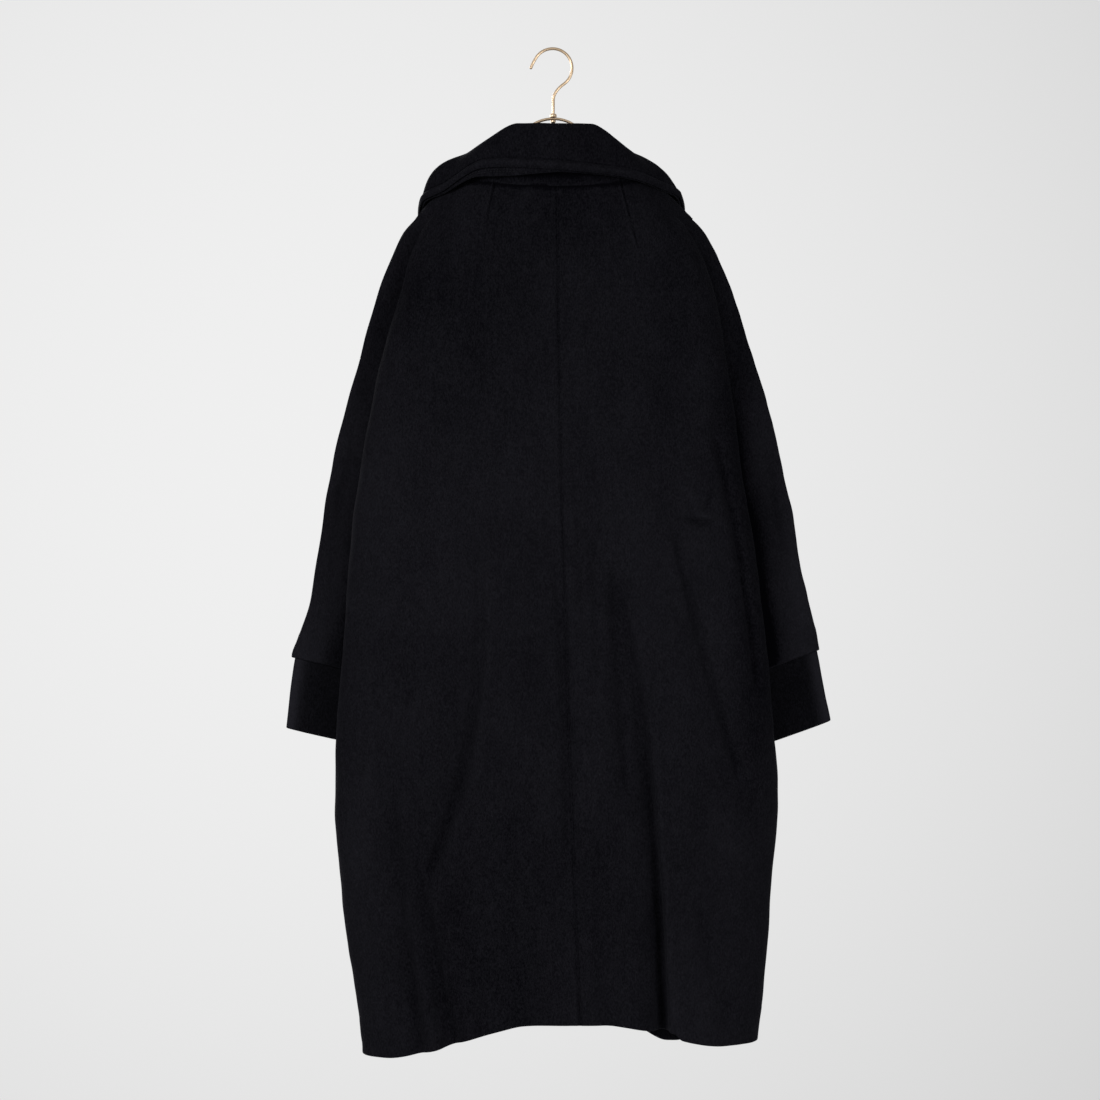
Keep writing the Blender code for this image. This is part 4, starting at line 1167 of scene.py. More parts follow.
def panel_sheet(side, face):
    """A panel's sheet, and at each point how far creases may show, the height above its hem, and the
    painted light and shade.

    It is the yoke over the body, the body below it, the yoke over the sleeve and the sleeve below it.
    Heights on the sleeve are scaled, so that its shorter turn-up reads as deep as the hem's.
    """
    body = back_columns() if face == "back" else np.linspace(0.0, 1.0, FRONT_STEPS + 1)
    sleeve = np.linspace(0.0, 1.0, SLEEVE_STEPS + 1)
    body_length = UNDERARM_Z - HEM_LEVEL
    sleeve_length = UNDERARM_Z - SLEEVE_END_Z[side]
    parts = []

    # Each part's nap is its painted light and shade
    along, drop = np.meshgrid(body, yoke_rows())
    surface = yoke(side, face, VALLEY_SHARE * along, drop)
    calm = body_calm(face, along) * ease(drop / YOKE_CALM)
    nap = edge_shade_and_gleam(side, face, along) * ease((drop - EDGE_SHADE_FROM) / EDGE_SHADE_DROP) - neck_seam_shade(along, drop)
    parts.append((surface, calm, np.full_like(drop, body_length), nap))

    along, drop = np.meshgrid(body, body_rows())
    surface = body_below(side, face, along, drop)
    nap = edge_shade_and_gleam(side, face, along) * (1.0 - ease((drop - EDGE_SHADE_KEPT[side]) / EDGE_SHADE_FADE))
    parts.append((surface, body_calm(face, along), (1.0 - drop) * body_length, nap))

    along, drop = np.meshgrid(sleeve, yoke_rows())
    surface = yoke(side, face, mix(VALLEY_SHARE, 1.0, along), drop)
    calm = np.sin(math.pi * along) * ease(drop / YOKE_CALM)
    nap = sleeve_light_and_shade(side, face, along) * ease((drop - SLEEVE_LIGHT_FROM) / SLEEVE_LIGHT_DROP)
    parts.append((surface, calm, np.full_like(drop, body_length), nap))

    along, drop = np.meshgrid(sleeve, np.linspace(0.0, 1.0, SLEEVE_ROWS + 1))
    surface = sleeve_below(side, face, along, drop)
    above = (1.0 - drop) * sleeve_length * HEM_DEPTH / SLEEVE_HEM_DEPTH
    parts.append((surface, np.sin(math.pi * along), above, sleeve_light_and_shade(side, face, along)))

    surfaces, *values = zip(*parts)
    flipped = (face == "back") == (side == "right")
    points, quads, first = weld([(surface, flipped) for surface in surfaces])
    values = [np.concatenate([part.reshape(-1) for part in value])[first] for value in values]
    return (points, quads), *values


def painted_patches(x, z):
    """The broad patches of painted light and shade: a sum of bells."""
    return sum(
        patch["share"] * bell(x - patch["x"], patch["wide"]) * bell(z - patch["z"], patch["high"])
        for patch in rows_of(PAINTED_PATCHES)
    )


def add_panels(material):
    """The two backs and the two fronts, with normals that agree along their seams and turned-up hems."""
    names = [(side, face) for face in FACES for side in SIDES]
    made = [panel_sheet(side, face) for side, face in names]
    for (side, face), parts, normals in zip(names, made, shared_normals([m[0] for m in made])):
        sheet, calm, above, painted_shading = parts
        if face == "back":
            painted_shading = painted_shading + painted_patches(sheet[0][:, 0], sheet[0][:, 2])
        relief, shade = panel_relief(side, face, sheet[0], calm)
        in_hem = 1.0 - ease((above - HEM_DEPTH) / HEM_TURN_EASE)
        form = shell(sheet, normals, relief + HEM_PUFF * in_hem, CLOTH + HEM_TURN * in_hem)
        add_cloth(face + "_" + side, form, painted_shading - shade, material)


# Cuffs and collar


def small_lumps(points):
    """The low lumps on the cuffs and the collar, a share of those on the panels."""
    return lump_height(points) * SMALL_LUMPS


def cuff_light(along):
    """Painted light on a cuff: nothing, then a pale band at its outer edge."""
    return CUFF_LIGHT * ease((along - CUFF_LIGHT_STARTS) / CUFF_LIGHT_SPAN)


def add_cuff(side, material):
    """A cuff: a ring that starts inside the sleeve's end, with a turned lower edge."""
    rises = np.linspace(CUFF["rise"].max(), CUFF["rise"].min(), CUFF_ROWS + 1)
    along, rise = np.meshgrid(np.linspace(0.0, 1.0, SLEEVE_STEPS + 1), rises)
    rings = [(cuff_face(side, face, along, rise), (face == "back") == (side == "right")) for face in FACES]
    points, quads, first = weld(rings)
    above = np.tile((rise - rises[-1]).reshape(-1), len(FACES))[first]
    # Painted light along the cuff's outer band
    painted_shading = np.tile(cuff_light(along).reshape(-1), len(FACES))[first]
    in_hem = 1.0 - ease((above - CUFF_HEM_DEPTH) / HEM_TURN_EASE)
    sheet = (points, quads)
    form = shell(sheet, shared_normals([sheet])[0], small_lumps(points), CLOTH + CUFF_TURN * in_hem)
    add_cloth("cuff_" + side, form, painted_shading, material)


def collar_grid(stations, strip):
    """The collar's middle surface on a grid, with rows at set distances from its edge, and those distances.

    Near the edge a distance is the length of the hang times the share of the fall that is left. A strip's
    rows run on past the edge, straight along the fall.
    """
    hang = np.linalg.norm(collar_hang(stations), axis=-1)
    up = np.linspace(0.0, STAND_SHARE, STAND_ROWS, endpoint=False)[:, None] + 0.0 * stations
    near = 1.0 - np.array(EDGE_ROWS)[:, None] / hang
    down = near[:1] * np.linspace(0.0, 1.0, FALL_ROWS, endpoint=False)[:, None]
    down = np.concatenate((down, near))
    across = np.concatenate((up, mix(STAND_SHARE, 1.0, down)))
    surface = collar_point(stations + 0.0 * across, across)
    from_edge = np.concatenate((up * 0.0 + hang, (1.0 - down) * hang))
    if strip is None:
        return surface, from_edge
    way = unit(surface[-1] - surface[-2])
    shares = np.array(STRIP_ROWS)[:, None]
    beyond = surface[-1] + way * (shares * strip)[..., None]
    return np.concatenate((surface, beyond)), np.concatenate((from_edge, -shares * strip))


def collar_relief(from_edge):
    """Height near the collar's edge: a groove along the topstitching and a roll outside it, both bells."""
    groove = bell(from_edge - TOPSTITCH_IN, TOPSTITCH_WIDE)
    roll = bell(from_edge - TOPSTITCH_IN / 2.0, EDGE_ROLL_WIDE)
    return EDGE_PUFF * roll - TOPSTITCH_GROOVE * groove


def strip_shows(stations):
    """How far the under collar runs on past the upper one: a bell at the left of the back."""
    return UNDER_COLLAR_EDGE + UNDER_COLLAR_SHOWS * bell(stations + UNDER_COLLAR_AT, UNDER_COLLAR_SPAN)


def stand_shade(shape):
    """How deep the stand lies in the shade of the fall: nothing at the neck seam, full two rows up."""
    low, high = STAND_SHADE_ROWS
    rows = np.arange(shape[0])
    return np.outer(ease((rows - low) / (high - low)) * (rows < STAND_ROWS), np.ones(shape[1]))


def add_collar(material):
    """The upper and the under collar, one on each side of the collar's middle surface.

    Only the inner face of the under collar's stand shows, so its shares, with the painted shade under the
    fall, are given for both faces.
    """
    stations = np.linspace(-1.0, 1.0, COLLAR_STATIONS)
    half_gap = SEAM_GAP / 2.0
    for name, strip, offset in (
        ("upper_collar", None, half_gap + COLLAR_CLOTH),
        ("under_collar", strip_shows(stations), -half_gap),
    ):
        surface, from_edge = collar_grid(stations, strip)
        points, quads, first = weld([(surface, True)])
        lift = small_lumps(points) + offset
        painted_shading = np.full(len(points), COLLAR_DARKER)
        if strip is None:
            edge_relief = collar_relief(from_edge.reshape(-1)[first])
            lift = lift + edge_relief
            # Painted light on the edge's roll and painted shade in the topstitch groove
            painted_shading = painted_shading + COLLAR_RELIEF_SHADING * edge_relief
        else:
            painted_shading = painted_shading + STAND_SHADE * stand_shade(surface.shape[:2]).reshape(-1)[first]
            painted_shading = np.tile(painted_shading, 2)
        sheet = (points, quads)
        form = shell(sheet, shared_normals([sheet])[0], lift, COLLAR_CLOTH)
        add_cloth(name, form, painted_shading, material)


# Paths and rings


def path_length(path):
    """The length along a path up to each of its points."""
    steps = np.linalg.norm(np.diff(path, axis=0), axis=1)
    return np.concatenate(((0.0,), np.cumsum(steps)))


def along_path(values, length, places):
    """Values at a path's points, read at given lengths along it, straight between the points."""
    return np.stack([np.interp(places, length, column) for column in values.T], axis=-1)


def ring_faces(rings, sides, capped):
    """Faces between rings of points, with the end rings filled, or joined to each other, as one list."""
    index = np.arange(rings * sides).reshape(rings, sides)
    after = np.roll(index, -1, axis=1)
    rows = slice(None, -1) if capped else slice(None)
    low = index[1:] if capped else np.roll(index, -1, axis=0)
    low_after = after[1:] if capped else np.roll(after, -1, axis=0)
    faces = np.stack((index[rows], after[rows], low_after, low), axis=-1).reshape(-1, 4).tolist()
    if capped:
        faces += [index[0][::-1].tolist(), index[-1].tolist()]
    return faces


# Sewing


def stitch_form():
    """Points of one stitch lying along X: a round thread whose radius follows a blunt half ellipse."""
    turn = once_round(STITCH_SIDES)
    along = np.cos(np.linspace(math.pi, 0.0, STITCH_RINGS))
    radius = np.sqrt(np.maximum(1.0 - along ** STITCH_BLUNT, STITCH_END)) * STITCH_RADIUS
    return np.stack((
        np.repeat(along * STITCH_LENGTH / 2.0, STITCH_SIDES),
        np.outer(radius, np.cos(turn)).reshape(-1),
        np.outer(radius, np.sin(turn)).reshape(-1),
    ), axis=-1)


def stitch_row(path, normals):
    """Stitches at an even pitch along a path: the axes of each, on the path's normal, and its middle."""
    length = path_length(path)
    places = np.arange(STITCH_PITCH / 2.0, length[-1] - STITCH_PITCH / 2.0, STITCH_PITCH)
    middle = along_path(path, length, places)
    along = unit(along_path(path, length, places + STITCH_LENGTH / 2.0) - middle)
    side = unit(np.cross(unit(along_path(normals, length, places)), along))
    return np.stack((along, side, np.cross(along, side)), axis=1), middle


def add_stitching(name, rows, material):
    """Several rows of stitches joined into one piece, the one form set on each stitch's axes."""
    axes = np.concatenate([row[0] for row in rows])
    middles = np.concatenate([row[1] for row in rows])
    form = stitch_form()
    points = middles[:, None, :] + np.einsum("vi,sij->svj", form, axes)
    *sides, first_end, last_end = ring_faces(STITCH_RINGS, STITCH_SIDES, True)
    starts = np.arange(len(middles))[:, None] * len(form)
    faces = (np.array(sides)[None] + starts[:, None]).reshape(-1, 4).tolist()
    for end in (first_end, last_end):
        faces += (np.array(end) + starts).tolist()
    add_piece(name, points.reshape(-1, 3), faces, material, "black_wool")


def topstitch_row():
    """The row of stitches along the collar, set in from its edge and lying in the upper collar's groove."""
    stations = np.linspace(-1.0, 1.0, COLLAR_STATIONS)
    hang = np.linalg.norm(collar_hang(stations), axis=-1)
    across = mix(STAND_SHARE, 1.0, 1.0 - TOPSTITCH_IN / hang)
    path = collar_point(stations, across)
    below = collar_point(stations, np.minimum(across + COLLAR_STEP, 1.0))
    down = below - collar_point(stations, across - COLLAR_STEP)
    normals = unit(np.cross(np.gradient(path, axis=0), down))
    height = SEAM_GAP / 2.0 + COLLAR_CLOTH - TOPSTITCH_GROOVE + STITCH_RADIUS / 2.0
    return stitch_row(path + normals * (height + small_lumps(path)[:, None]), normals)


def strip_row(out):
    """A row of stitches on the strip of under collar, a distance past the upper collar's edge."""
    stations = np.linspace(*STRIP_STATIONS, COLLAR_STATIONS)
    edge = collar_point(stations, np.ones_like(stations))
    way = unit(edge - collar_point(stations, np.full_like(stations, 1.0 - COLLAR_STEP)))
    normals = unit(np.cross(np.gradient(edge, axis=0), way))
    height = small_lumps(edge)[:, None] + (STITCH_RADIUS - SEAM_GAP) / 2.0
    return stitch_row(edge + way * out + normals * height, normals)


# Hanger


def hook_path():
    """The hook's centre line: flared tip, round top, and the bend down to the stem."""
    first, last = (math.radians(angle) for angle in HOOK_ARC)
    angles = np.linspace(first, last, HOOK_POINTS)
    arc = np.stack((np.cos(angles), np.sin(angles)), axis=-1) * HOOK_RADIUS + np.array((0.0, HOOK_CENTRE_Z))
    share = np.linspace(0.0, 1.0, BEND_POINTS)[:, None]
    tip_length = math.dist(HOOK_TIP, arc[0])
    tip_turn = np.array((math.sin(first), -math.cos(first))) * tip_length
    tip = hermite(np.array(HOOK_TIP), arc[0], -np.array(HOOK_TIP_WAY) * tip_length, tip_turn, share)
    stem_top = np.array((STEM_X, STEM_TOP_Z))
    bend_length = math.dist(stem_top, arc[-1])
    leave = np.array((math.sin(last), -math.cos(last))) * bend_length
    bend = hermite(arc[-1], stem_top, leave, np.array((0.0, -bend_length)), share)
    stem_end = np.array((STEM_X, ARCH_TOP_Z + WIRE_RADIUS + SEAM_GAP))
    stem = mix(stem_top, stem_end, np.linspace(0.0, 1.0, STEM_POINTS)[:, None])
    return np.concatenate((tip[:-1], arc, bend[1:], stem[1:]))


def arm_height(side, x):
    """Height of the hanger's arm, just under the shoulder seam's inside."""
    shoulder = read(SLEEVE, side, SHOULDER_END_Z) - NECK_HALF_WIDTH
    out = (x - NECK_HALF_WIDTH) / shoulder
    seam = NECK_SIDE_Z + (SHOULDER_END_Z - NECK_SIDE_Z) * out ** SHOULDER_BOW
    slope = math.atan2(NECK_SIDE_Z - SHOULDER_END_Z, shoulder)
    droop = ARM_DROOP * ease((x - ARM_DROOP_X) / (ARM_END_X - ARM_DROOP_X))
    return seam - (CLOTH + WIRE_GAP + WIRE_RADIUS) / math.cos(slope) - droop


def frame_path():
    """The hanger's frame: an arch over the neck that runs down into two sloping arms."""
    angles = np.linspace(0.0, math.radians(ARCH_ANGLE), ARCH_POINTS)
    arch = np.stack((np.sin(angles), np.cos(angles) - 1.0), axis=-1) * ARCH_RADIUS
    arch = arch + np.array((0.0, ARCH_TOP_Z))
    arm_x = np.linspace(ARM_START_X, ARM_END_X, ARM_POINTS)
    share = np.linspace(0.0, 1.0, NECK_BEND_POINTS)[:, None]
    halves = []
    for side, sign in SIDES.items():
        arm = np.stack((arm_x, arm_height(side, arm_x)), axis=-1)
        length = math.dist(arch[-1], arm[0])
        leave = np.array((math.cos(angles[-1]), -math.sin(angles[-1]))) * length
        arrive = (arm[1] - arm[0]) / math.dist(arm[1], arm[0]) * length
        bend = hermite(arch[-1], arm[0], leave, arrive, share)
        half = np.concatenate((arch, bend[1:], arm[1:]))
        to_stem = 1.0 - ease(half[:, :1] / ARM_START_X)
        halves.append(half * np.array((sign, 1.0)) + np.array((STEM_X, 0.0)) * to_stem)
    return np.concatenate((halves[0][:0:-1], halves[1]))


def wire(path):
    """A round wire along a path in the hanger's plane: a circle carried along it, closed by rounded ends.

    The end rings sit inside the last radius of the path, on a quarter circle.
    """
    length = path_length(path)
    total = length[-1]
    end_angles = np.linspace(WIRE_END_STARTS, 1.0, WIRE_END_RINGS) * math.pi / 2.0
    rounds = WIRE_RADIUS * (1.0 - np.cos(end_angles))
    clear = WIRE_RADIUS * WIRE_END_CLEAR
    inner = length[(length > clear) & (length < total - clear)]
    places = np.concatenate((rounds, inner, total - rounds[::-1]))
    to_end = np.minimum(np.minimum(places, total - places), WIRE_RADIUS)
    radius = np.sqrt(WIRE_RADIUS ** 2 - (WIRE_RADIUS - to_end) ** 2)
    line = along_path(path, length, places)
    ahead = along_path(path, length, places + WIRE_LOOK)
    way = unit(ahead - along_path(path, length, places - WIRE_LOOK))
    turn = once_round(WIRE_SIDES)
    across = radius[:, None] * np.cos(turn)
    points = np.stack((
        line[:, :1] + way[:, 1:] * across,
        radius[:, None] * np.sin(turn),
        line[:, 1:] - way[:, :1] * across,
    ), axis=-1).reshape(-1, 3)
    return points, ring_faces(len(places), WIRE_SIDES, True)


def turned(*profile):
    """A round piece turned about the stem: its profile of radius and height, with small round corners.

    A corner is a parabola between two points on the profile's sides.
    """
    profile = np.array(profile)
    start = profile + unit(np.roll(profile, 1, axis=0) - profile) * EDGE_ROUND
    end = profile + unit(np.roll(profile, -1, axis=0) - profile) * EDGE_ROUND
    share = np.array(CORNER_SHARES)[None, :, None]
    soft = (1.0 - share) ** 2 * start[:, None] + 2.0 * share * (1.0 - share) * profile[:, None]
    soft = (soft + share ** 2 * end[:, None]).reshape(-1, 2)
    sides = 2 * WIRE_SIDES
    turn = once_round(sides)
    points = np.stack((
        STEM_X + soft[:, :1] * np.cos(turn),
        soft[:, :1] * np.sin(turn),
        soft[:, 1:] + 0.0 * turn,
    ), axis=-1).reshape(-1, 3)
    return points, ring_faces(len(soft), sides, False)


def outward(mesh):
    """Turns a closed mesh's faces over if the volume they enclose comes out negative."""
    mesh.calc_loop_triangles()
    corners = np.empty(3 * len(mesh.loop_triangles), dtype=np.int32)
    mesh.loop_triangles.foreach_get("vertices", corners)
    places = np.empty(3 * len(mesh.vertices))
    mesh.vertices.foreach_get("co", places)
    a, b, c = np.swapaxes(places.reshape(-1, 3)[corners.reshape(-1, 3)], 0, 1)
    if np.sum(a * np.cross(b, c)) < 0.0:
        mesh.flip_normals()


def add_metal(name, form, material, node_name):
    """A metal piece that stands for a node, its faces turned outward."""
    piece = add_piece(name, *form, material, "gilt_wire")
    outward(piece.data)
    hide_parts(node_name)


def add_hanger(material):
    """The hook, the wire frame, and the ferrule and the rivet over and under the arch."""
    add_metal("hanger_hook_wire", wire(hook_path()), material, "hanger_hook")
    add_metal("hanger_wire", wire(frame_path()), material, "hanger_frame")
    low = ARCH_TOP_Z + WIRE_RADIUS + SEAM_GAP
    high = low + FERRULE_HEIGHT
    bore = WIRE_RADIUS + SEAM_GAP
    shoulder = low + FERRULE_SHOULDER
    outside = ((FERRULE_NECK_RADIUS, high), (FERRULE_RADIUS, shoulder), (FERRULE_RADIUS, low))
    ferrule = turned((bore, high), *outside, (bore, low))
    add_metal("hanger_collar_nut", ferrule, material, "hanger_ferrule")
    high = ARCH_TOP_Z - WIRE_RADIUS - SEAM_GAP
    low = high - RIVET_HEIGHT
    shoulder = high - RIVET_SHOULDER
    outside = ((RIVET_RADIUS, high), (RIVET_RADIUS, shoulder), (RIVET_TIP_RADIUS, low))
    rivet = turned((RIVET_BORE, high), *outside, (RIVET_BORE, low))
    add_metal("hanger_rivet_head", rivet, material, "hanger_rivet")


# Materials


def node(tree, kind, **values):
    """A node of a kind, placed to the right of the last one, with some of its properties set."""
    made = tree.nodes.new(kind)
    made.location = (NODE_STEP * len(tree.nodes), 0.0)
    for name, value in values.items():
        setattr(made, name, value)
    return made


def drawn_noise(tree, position, drawn, scale, detail, roughness):
    """Noise on a position whose upright axis is scaled, so that the pattern is drawn out along it."""
    axes = node(tree, "ShaderNodeMapping")
    axes.inputs["Scale"].default_value = (1.0, 1.0, drawn)
    tree.links.new(position, axes.inputs["Vector"])
    made = node(tree, "ShaderNodeTexNoise")
    for name, value in (("Scale", scale), ("Detail", detail), ("Roughness", roughness)):
        made.inputs[name].default_value = value
    tree.links.new(axes.outputs["Vector"], made.inputs["Vector"])
    return made.outputs["Fac"]


def ranged(tree, value, source, target):
    """A value carried from one range to another, held at its ends."""
    made = node(tree, "ShaderNodeMapRange")
    for name, number in zip(("From Min", "From Max", "To Min", "To Max"), (*source, *target)):
        made.inputs[name].default_value = number
    tree.links.new(value, made.inputs["Value"])
    return made.outputs["Result"]


def maths(tree, operation, first, second):
    """One operation on two values, each a socket or a number."""
    made = node(tree, "ShaderNodeMath", operation=operation)
    for socket, value in zip(made.inputs, (first, second)):
        if isinstance(value, (int, float)):
            socket.default_value = value
        else:
            tree.links.new(value, socket)
    return made.outputs["Value"]


def weighted(tree, *terms):
    """The sum of several values, each times its weight."""
    total, *others = (maths(tree, "MULTIPLY", value, weight) for value, weight in terms)
    for other in others:
        total = maths(tree, "ADD", total, other)
    return total


def blended(tree, share, first, second):
    """A colour between two others, past either of them where the share is below 0 or above 1."""
    made = node(tree, "ShaderNodeMix", data_type="RGBA", clamp_factor=False)
    tree.links.new(share, made.inputs["Factor"])
    for socket, colour in zip((made.inputs[6], made.inputs[7]), (first, second)):
        socket.default_value = (*colour, 1.0)
    return made.outputs[2]


def new_group(name, outputs):
    """A shader node group that turns a position into floats: the group, its input and its output."""
    group = bpy.data.node_groups.new(name, "ShaderNodeTree")
    group.interface.new_socket("Position", in_out="INPUT", socket_type="NodeSocketVector")
    for label in outputs:
        group.interface.new_socket(label, in_out="OUTPUT", socket_type="NodeSocketFloat")
    return group, node(group, "NodeGroupInput").outputs["Position"], node(group, "NodeGroupOutput")


def brushed_nap():
    """Nap of brushed wool: upright hairs, tufts and clumps, and patches where the hairs lie another way."""
    group, position, leave = new_group("brushed_nap", NAP_WEIGHTS)
    noises = {name: drawn_noise(group, position, *values) for name, values in NAP_NOISES.items()}
    for label, weights in NAP_WEIGHTS.items():
        total = weighted(group, *((noises[name], weight) for name, weight in weights.items()))
        group.links.new(total, leave.inputs[label])
    return group


def worn_metal():
    """Plated wire: broad dull clouds and fine rubbing marks."""
    group, position, leave = new_group("worn_metal", METAL_NOISES)
    for label, values in METAL_NOISES.items():
        group.links.new(drawn_noise(group, position, *values), leave.inputs[label])
    return group


def new_material(name):
    """A material with its node tree and shader, and the position of a point on its piece."""
    material = bpy.data.materials.new(name)
    material.use_nodes = True
    tree = material.node_tree
    position = node(tree, "ShaderNodeTexCoord").outputs["Object"]
    return material, tree, tree.nodes["Principled BSDF"], position


def place_group(tree, group, position):
    """The outputs of a node group, placed in a material and fed with the position."""
    made = node(tree, "ShaderNodeGroup", node_tree=group)
    tree.links.new(position, made.inputs["Position"])
    return made.outputs


def bumped(tree, height, bump, shader):
    """A bump of a distance and a strength, from a height into the shader's normal."""
    made = node(tree, "ShaderNodeBump")
    made.inputs["Distance"].default_value, made.inputs["Strength"].default_value = bump
    tree.links.new(height, made.inputs["Height"])
    tree.links.new(made.outputs["Normal"], shader.inputs["Normal"])


def wool(name, nap, deep, pale, sheen):
    """Brushed wool: a dark colour mottled by the nap's patches and hairs, rough, with a soft sheen."""
    material, tree, shader, position = new_material(name)
    parts = place_group(tree, nap, position)
    patches = ranged(tree, parts["Patches"], NAP_RANGE, PATCH_SHARES)
    hairs = ranged(tree, parts["Hairs"], NAP_RANGE, HAIR_SHARES)
    # The painted light and shade at each point, added to the nap's mottling
    painted_shading = node(tree, "ShaderNodeAttribute", attribute_name=PAINTED_SHADING).outputs["Fac"]
    mottle = maths(tree, "MAXIMUM", maths(tree, "ADD", patches, hairs), 0.0)
    share = maths(tree, "MAXIMUM", maths(tree, "ADD", mottle, painted_shading), DEEPEST)
    tree.links.new(blended(tree, share, deep, pale), shader.inputs["Base Color"])
    tree.links.new(ranged(tree, parts["Hairs"], NAP_RANGE, WOOL_ROUGHNESS), shader.inputs["Roughness"])
    bumped(tree, parts["Height"], WOOL_BUMP, shader)
    shader.inputs["Specular IOR Level"].default_value = WOOL_GLOSS
    shader.inputs["Sheen Weight"].default_value = sheen
    shader.inputs["Sheen Roughness"].default_value = SHEEN_ROUGHNESS
    shader.inputs["Sheen Tint"].default_value = (*SHEEN_TINT, 1.0)
    return material


def thread(name, nap):
    """Sewing thread: paler and deeper along its hairs, and a little smoother than the cloth."""
    material, tree, shader, position = new_material(name)
    hairs = place_group(tree, nap, position)["Hairs"]
    share = ranged(tree, hairs, NAP_RANGE, (0.0, 1.0))
    tree.links.new(blended(tree, share, THREAD, THREAD_PALE), shader.inputs["Base Color"])
    tree.links.new(ranged(tree, hairs, NAP_RANGE, THREAD_ROUGHNESS), shader.inputs["Roughness"])
    shader.inputs["Specular IOR Level"].default_value = THREAD_GLOSS
    return material


def gilt(name, wear):
    """Pale gilt plating: satin metal, duller in clouds, with fine rubbing marks."""
    material, tree, shader, position = new_material(name)
    parts = place_group(tree, wear, position)
    share = ranged(tree, parts["Clouds"], DULL_RANGE, DULL_SHARES)
    tree.links.new(blended(tree, share, GILT, GILT_DEEP), shader.inputs["Base Color"])
    clouded = ranged(tree, parts["Clouds"], CLOUD_RANGE, CLOUD_ROUGHNESS)
    rubbed = ranged(tree, parts["Marks"], MARK_RANGE, MARK_ROUGHNESS)
    tree.links.new(maths(tree, "ADD", clouded, rubbed), shader.inputs["Roughness"])
    bumped(tree, parts["Marks"], GILT_BUMP, shader)
    shader.inputs["Metallic"].default_value = 1.0
    return material


def pale_floor(name):
    """A plain pale floor with a barely seen cloudiness."""
    material, tree, shader, position = new_material(name)
    clouds = drawn_noise(tree, position, *FLOOR_NOISE)
    tree.links.new(blended(tree, clouds, FLOOR_PALE, FLOOR_SHADE), shader.inputs["Base Color"])
    shader.inputs["Roughness"].default_value = FLOOR_ROUGHNESS
    shader.inputs["Specular IOR Level"].default_value = FLOOR_GLOSS
    return material


# Camera, light and floor


def add_camera():
    """The camera at the photograph's angle: level with the coat's middle, looking along +Y."""
    data = bpy.data.cameras.new("camera")
    data.sensor_width = SENSOR_WIDTH
    data.lens = SENSOR_WIDTH * -CAMERA_PLACE[1] / PICTURE_WIDTH
    camera = bpy.data.objects.new("camera", data)
    camera.location = Vector(CAMERA_PLACE) * MM
    camera.rotation_euler = (math.radians(90.0), 0.0, 0.0)
    bpy.context.scene.collection.objects.link(camera)
    bpy.context.scene.camera = camera


def add_lights():
    """Large soft lamps, each aimed at the coat's middle."""
    for name, place, target, size, power in LIGHTS:
        data = bpy.data.lights.new(name, "AREA")
        data.size = size
        data.energy = power
        lamp = bpy.data.objects.new(name, data)
        lamp.location = place
        lamp.rotation_euler = (Vector(target) - Vector(place)).to_track_quat("-Z", "Y").to_euler()
        bpy.context.scene.collection.objects.link(lamp)


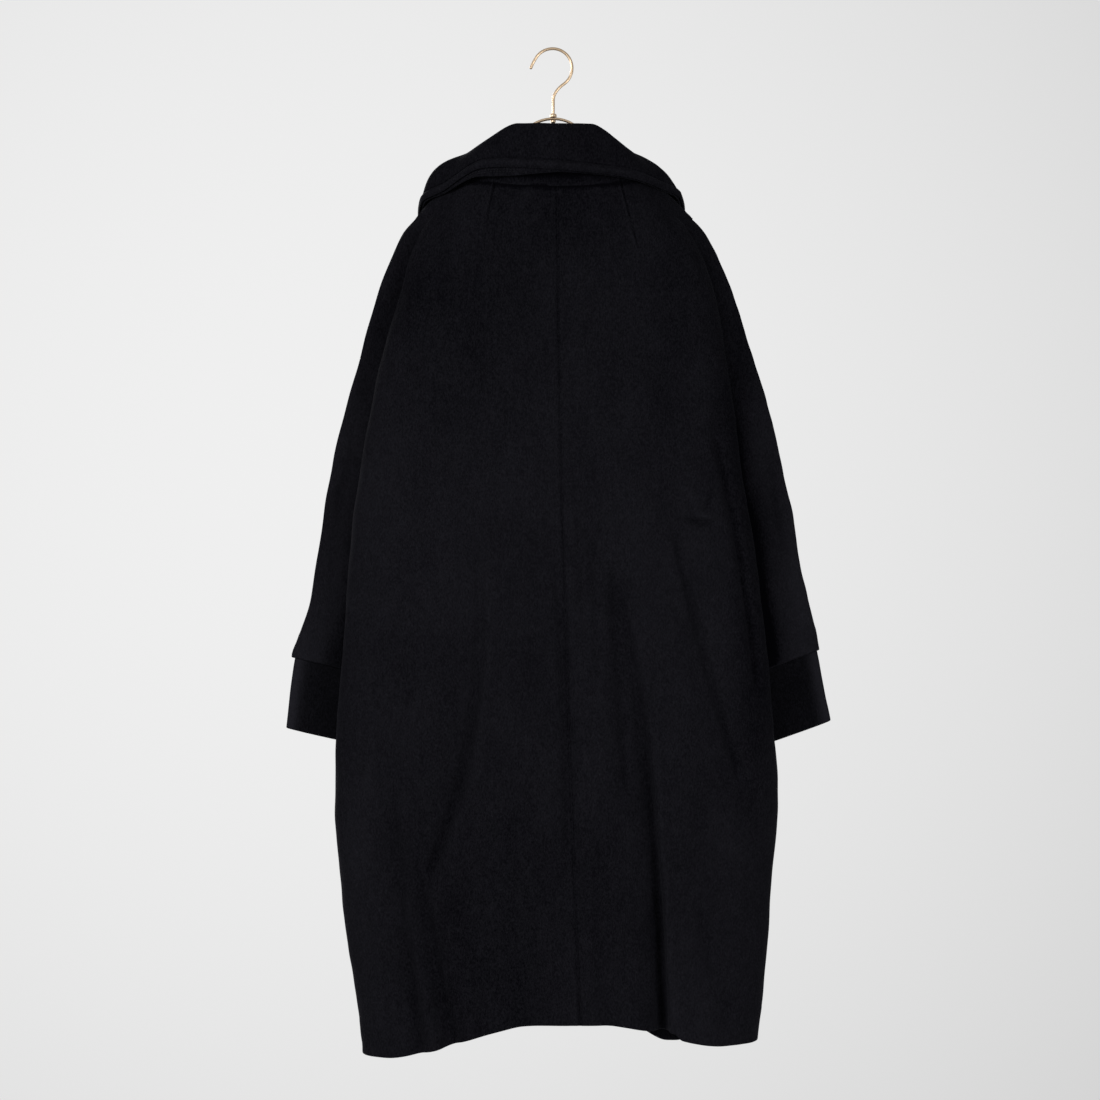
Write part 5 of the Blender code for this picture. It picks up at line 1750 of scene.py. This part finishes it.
def add_world():
    """A pale surround: seen, it is brighter at the left and dimmer far out; as a light, weak and even."""
    world = bpy.data.worlds.new("pale_surround")
    world.use_nodes = True
    tree = world.node_tree
    background = tree.nodes["Background"]
    parted = node(tree, "ShaderNodeSeparateXYZ")
    tree.links.new(node(tree, "ShaderNodeTexCoord").outputs["Generated"], parted.inputs["Vector"])
    x, z = parted.outputs["X"], parted.outputs["Z"]
    away = maths(tree, "ADD", maths(tree, "MULTIPLY", x, x), maths(tree, "MULTIPLY", z, z))
    seen = weighted(tree, (x, WORLD_SLOPE), (z, WORLD_RISE), (away, WORLD_DIM))
    held = ranged(tree, seen, [end - WORLD_PALE for end in WORLD_RANGE], WORLD_RANGE)
    path = node(tree, "ShaderNodeLightPath")
    plain = maths(tree, "MAXIMUM", path.outputs["Is Camera Ray"], path.outputs["Is Glossy Ray"])
    lit = node(tree, "ShaderNodeMix", data_type="FLOAT")
    tree.links.new(plain, lit.inputs[0])
    lit.inputs[2].default_value = WORLD_LIGHT
    tree.links.new(held, lit.inputs[3])
    background.inputs["Color"].default_value = (1.0, 1.0, 1.0, 1.0)
    tree.links.new(lit.outputs[0], background.inputs["Strength"])
    bpy.context.scene.world = world


def add_floor():
    """A round pale floor well below the hem: rings of points on a flat disc."""
    radii = np.linspace(1.0, FLOOR_RADIUS, FLOOR_RINGS)
    turn = once_round(FLOOR_SIDES)
    points = np.stack((
        np.outer(radii, np.cos(turn)),
        np.outer(radii, np.sin(turn)),
        np.full((FLOOR_RINGS, FLOOR_SIDES), FLOOR_Z),
    ), axis=-1).reshape(-1, 3)
    index = np.arange(len(points)).reshape(FLOOR_RINGS, FLOOR_SIDES)
    after = np.roll(index, -1, axis=1)
    faces = np.stack((index[:-1], index[1:], after[1:], after[:-1]), axis=-1).reshape(-1, 4)
    mesh = bpy.data.meshes.new("floor")
    mesh.from_pydata((points * MM).tolist(), [], faces.tolist() + [index[0].tolist()])
    mesh.materials.append(pale_floor("pale_floor"))
    floor = bpy.data.objects.new("floor", mesh)
    bpy.context.scene.collection.objects.link(floor)


add_camera()
nap = brushed_nap()
black_wool = wool("black_wool", nap, WOOL_DEEP, WOOL_PALE, WOOL_SHEEN)
# A darker copy of the wool: painted shade on the cuffs
shaded_cuff_wool = wool("shaded_cuff_wool", nap, CUFF_SHADED_DEEP, CUFF_SHADED_PALE, CUFF_SHEEN)
black_thread = thread("black_thread", nap)
gilt_wire = gilt("gilt_wire", worn_metal())

add_hanger(gilt_wire)
add_panels(black_wool)
for side_name in SIDES:
    add_cuff(side_name, shaded_cuff_wool)
add_collar(black_wool)
add_stitching("collar_topstitching", [topstitch_row()], black_thread)
add_stitching("under_collar_stitching", [strip_row(out) for out in STRIP_STITCHES_OUT], black_thread)

add_lights()
add_world()
add_floor()
bpy.context.scene.view_settings.view_transform = "Standard"
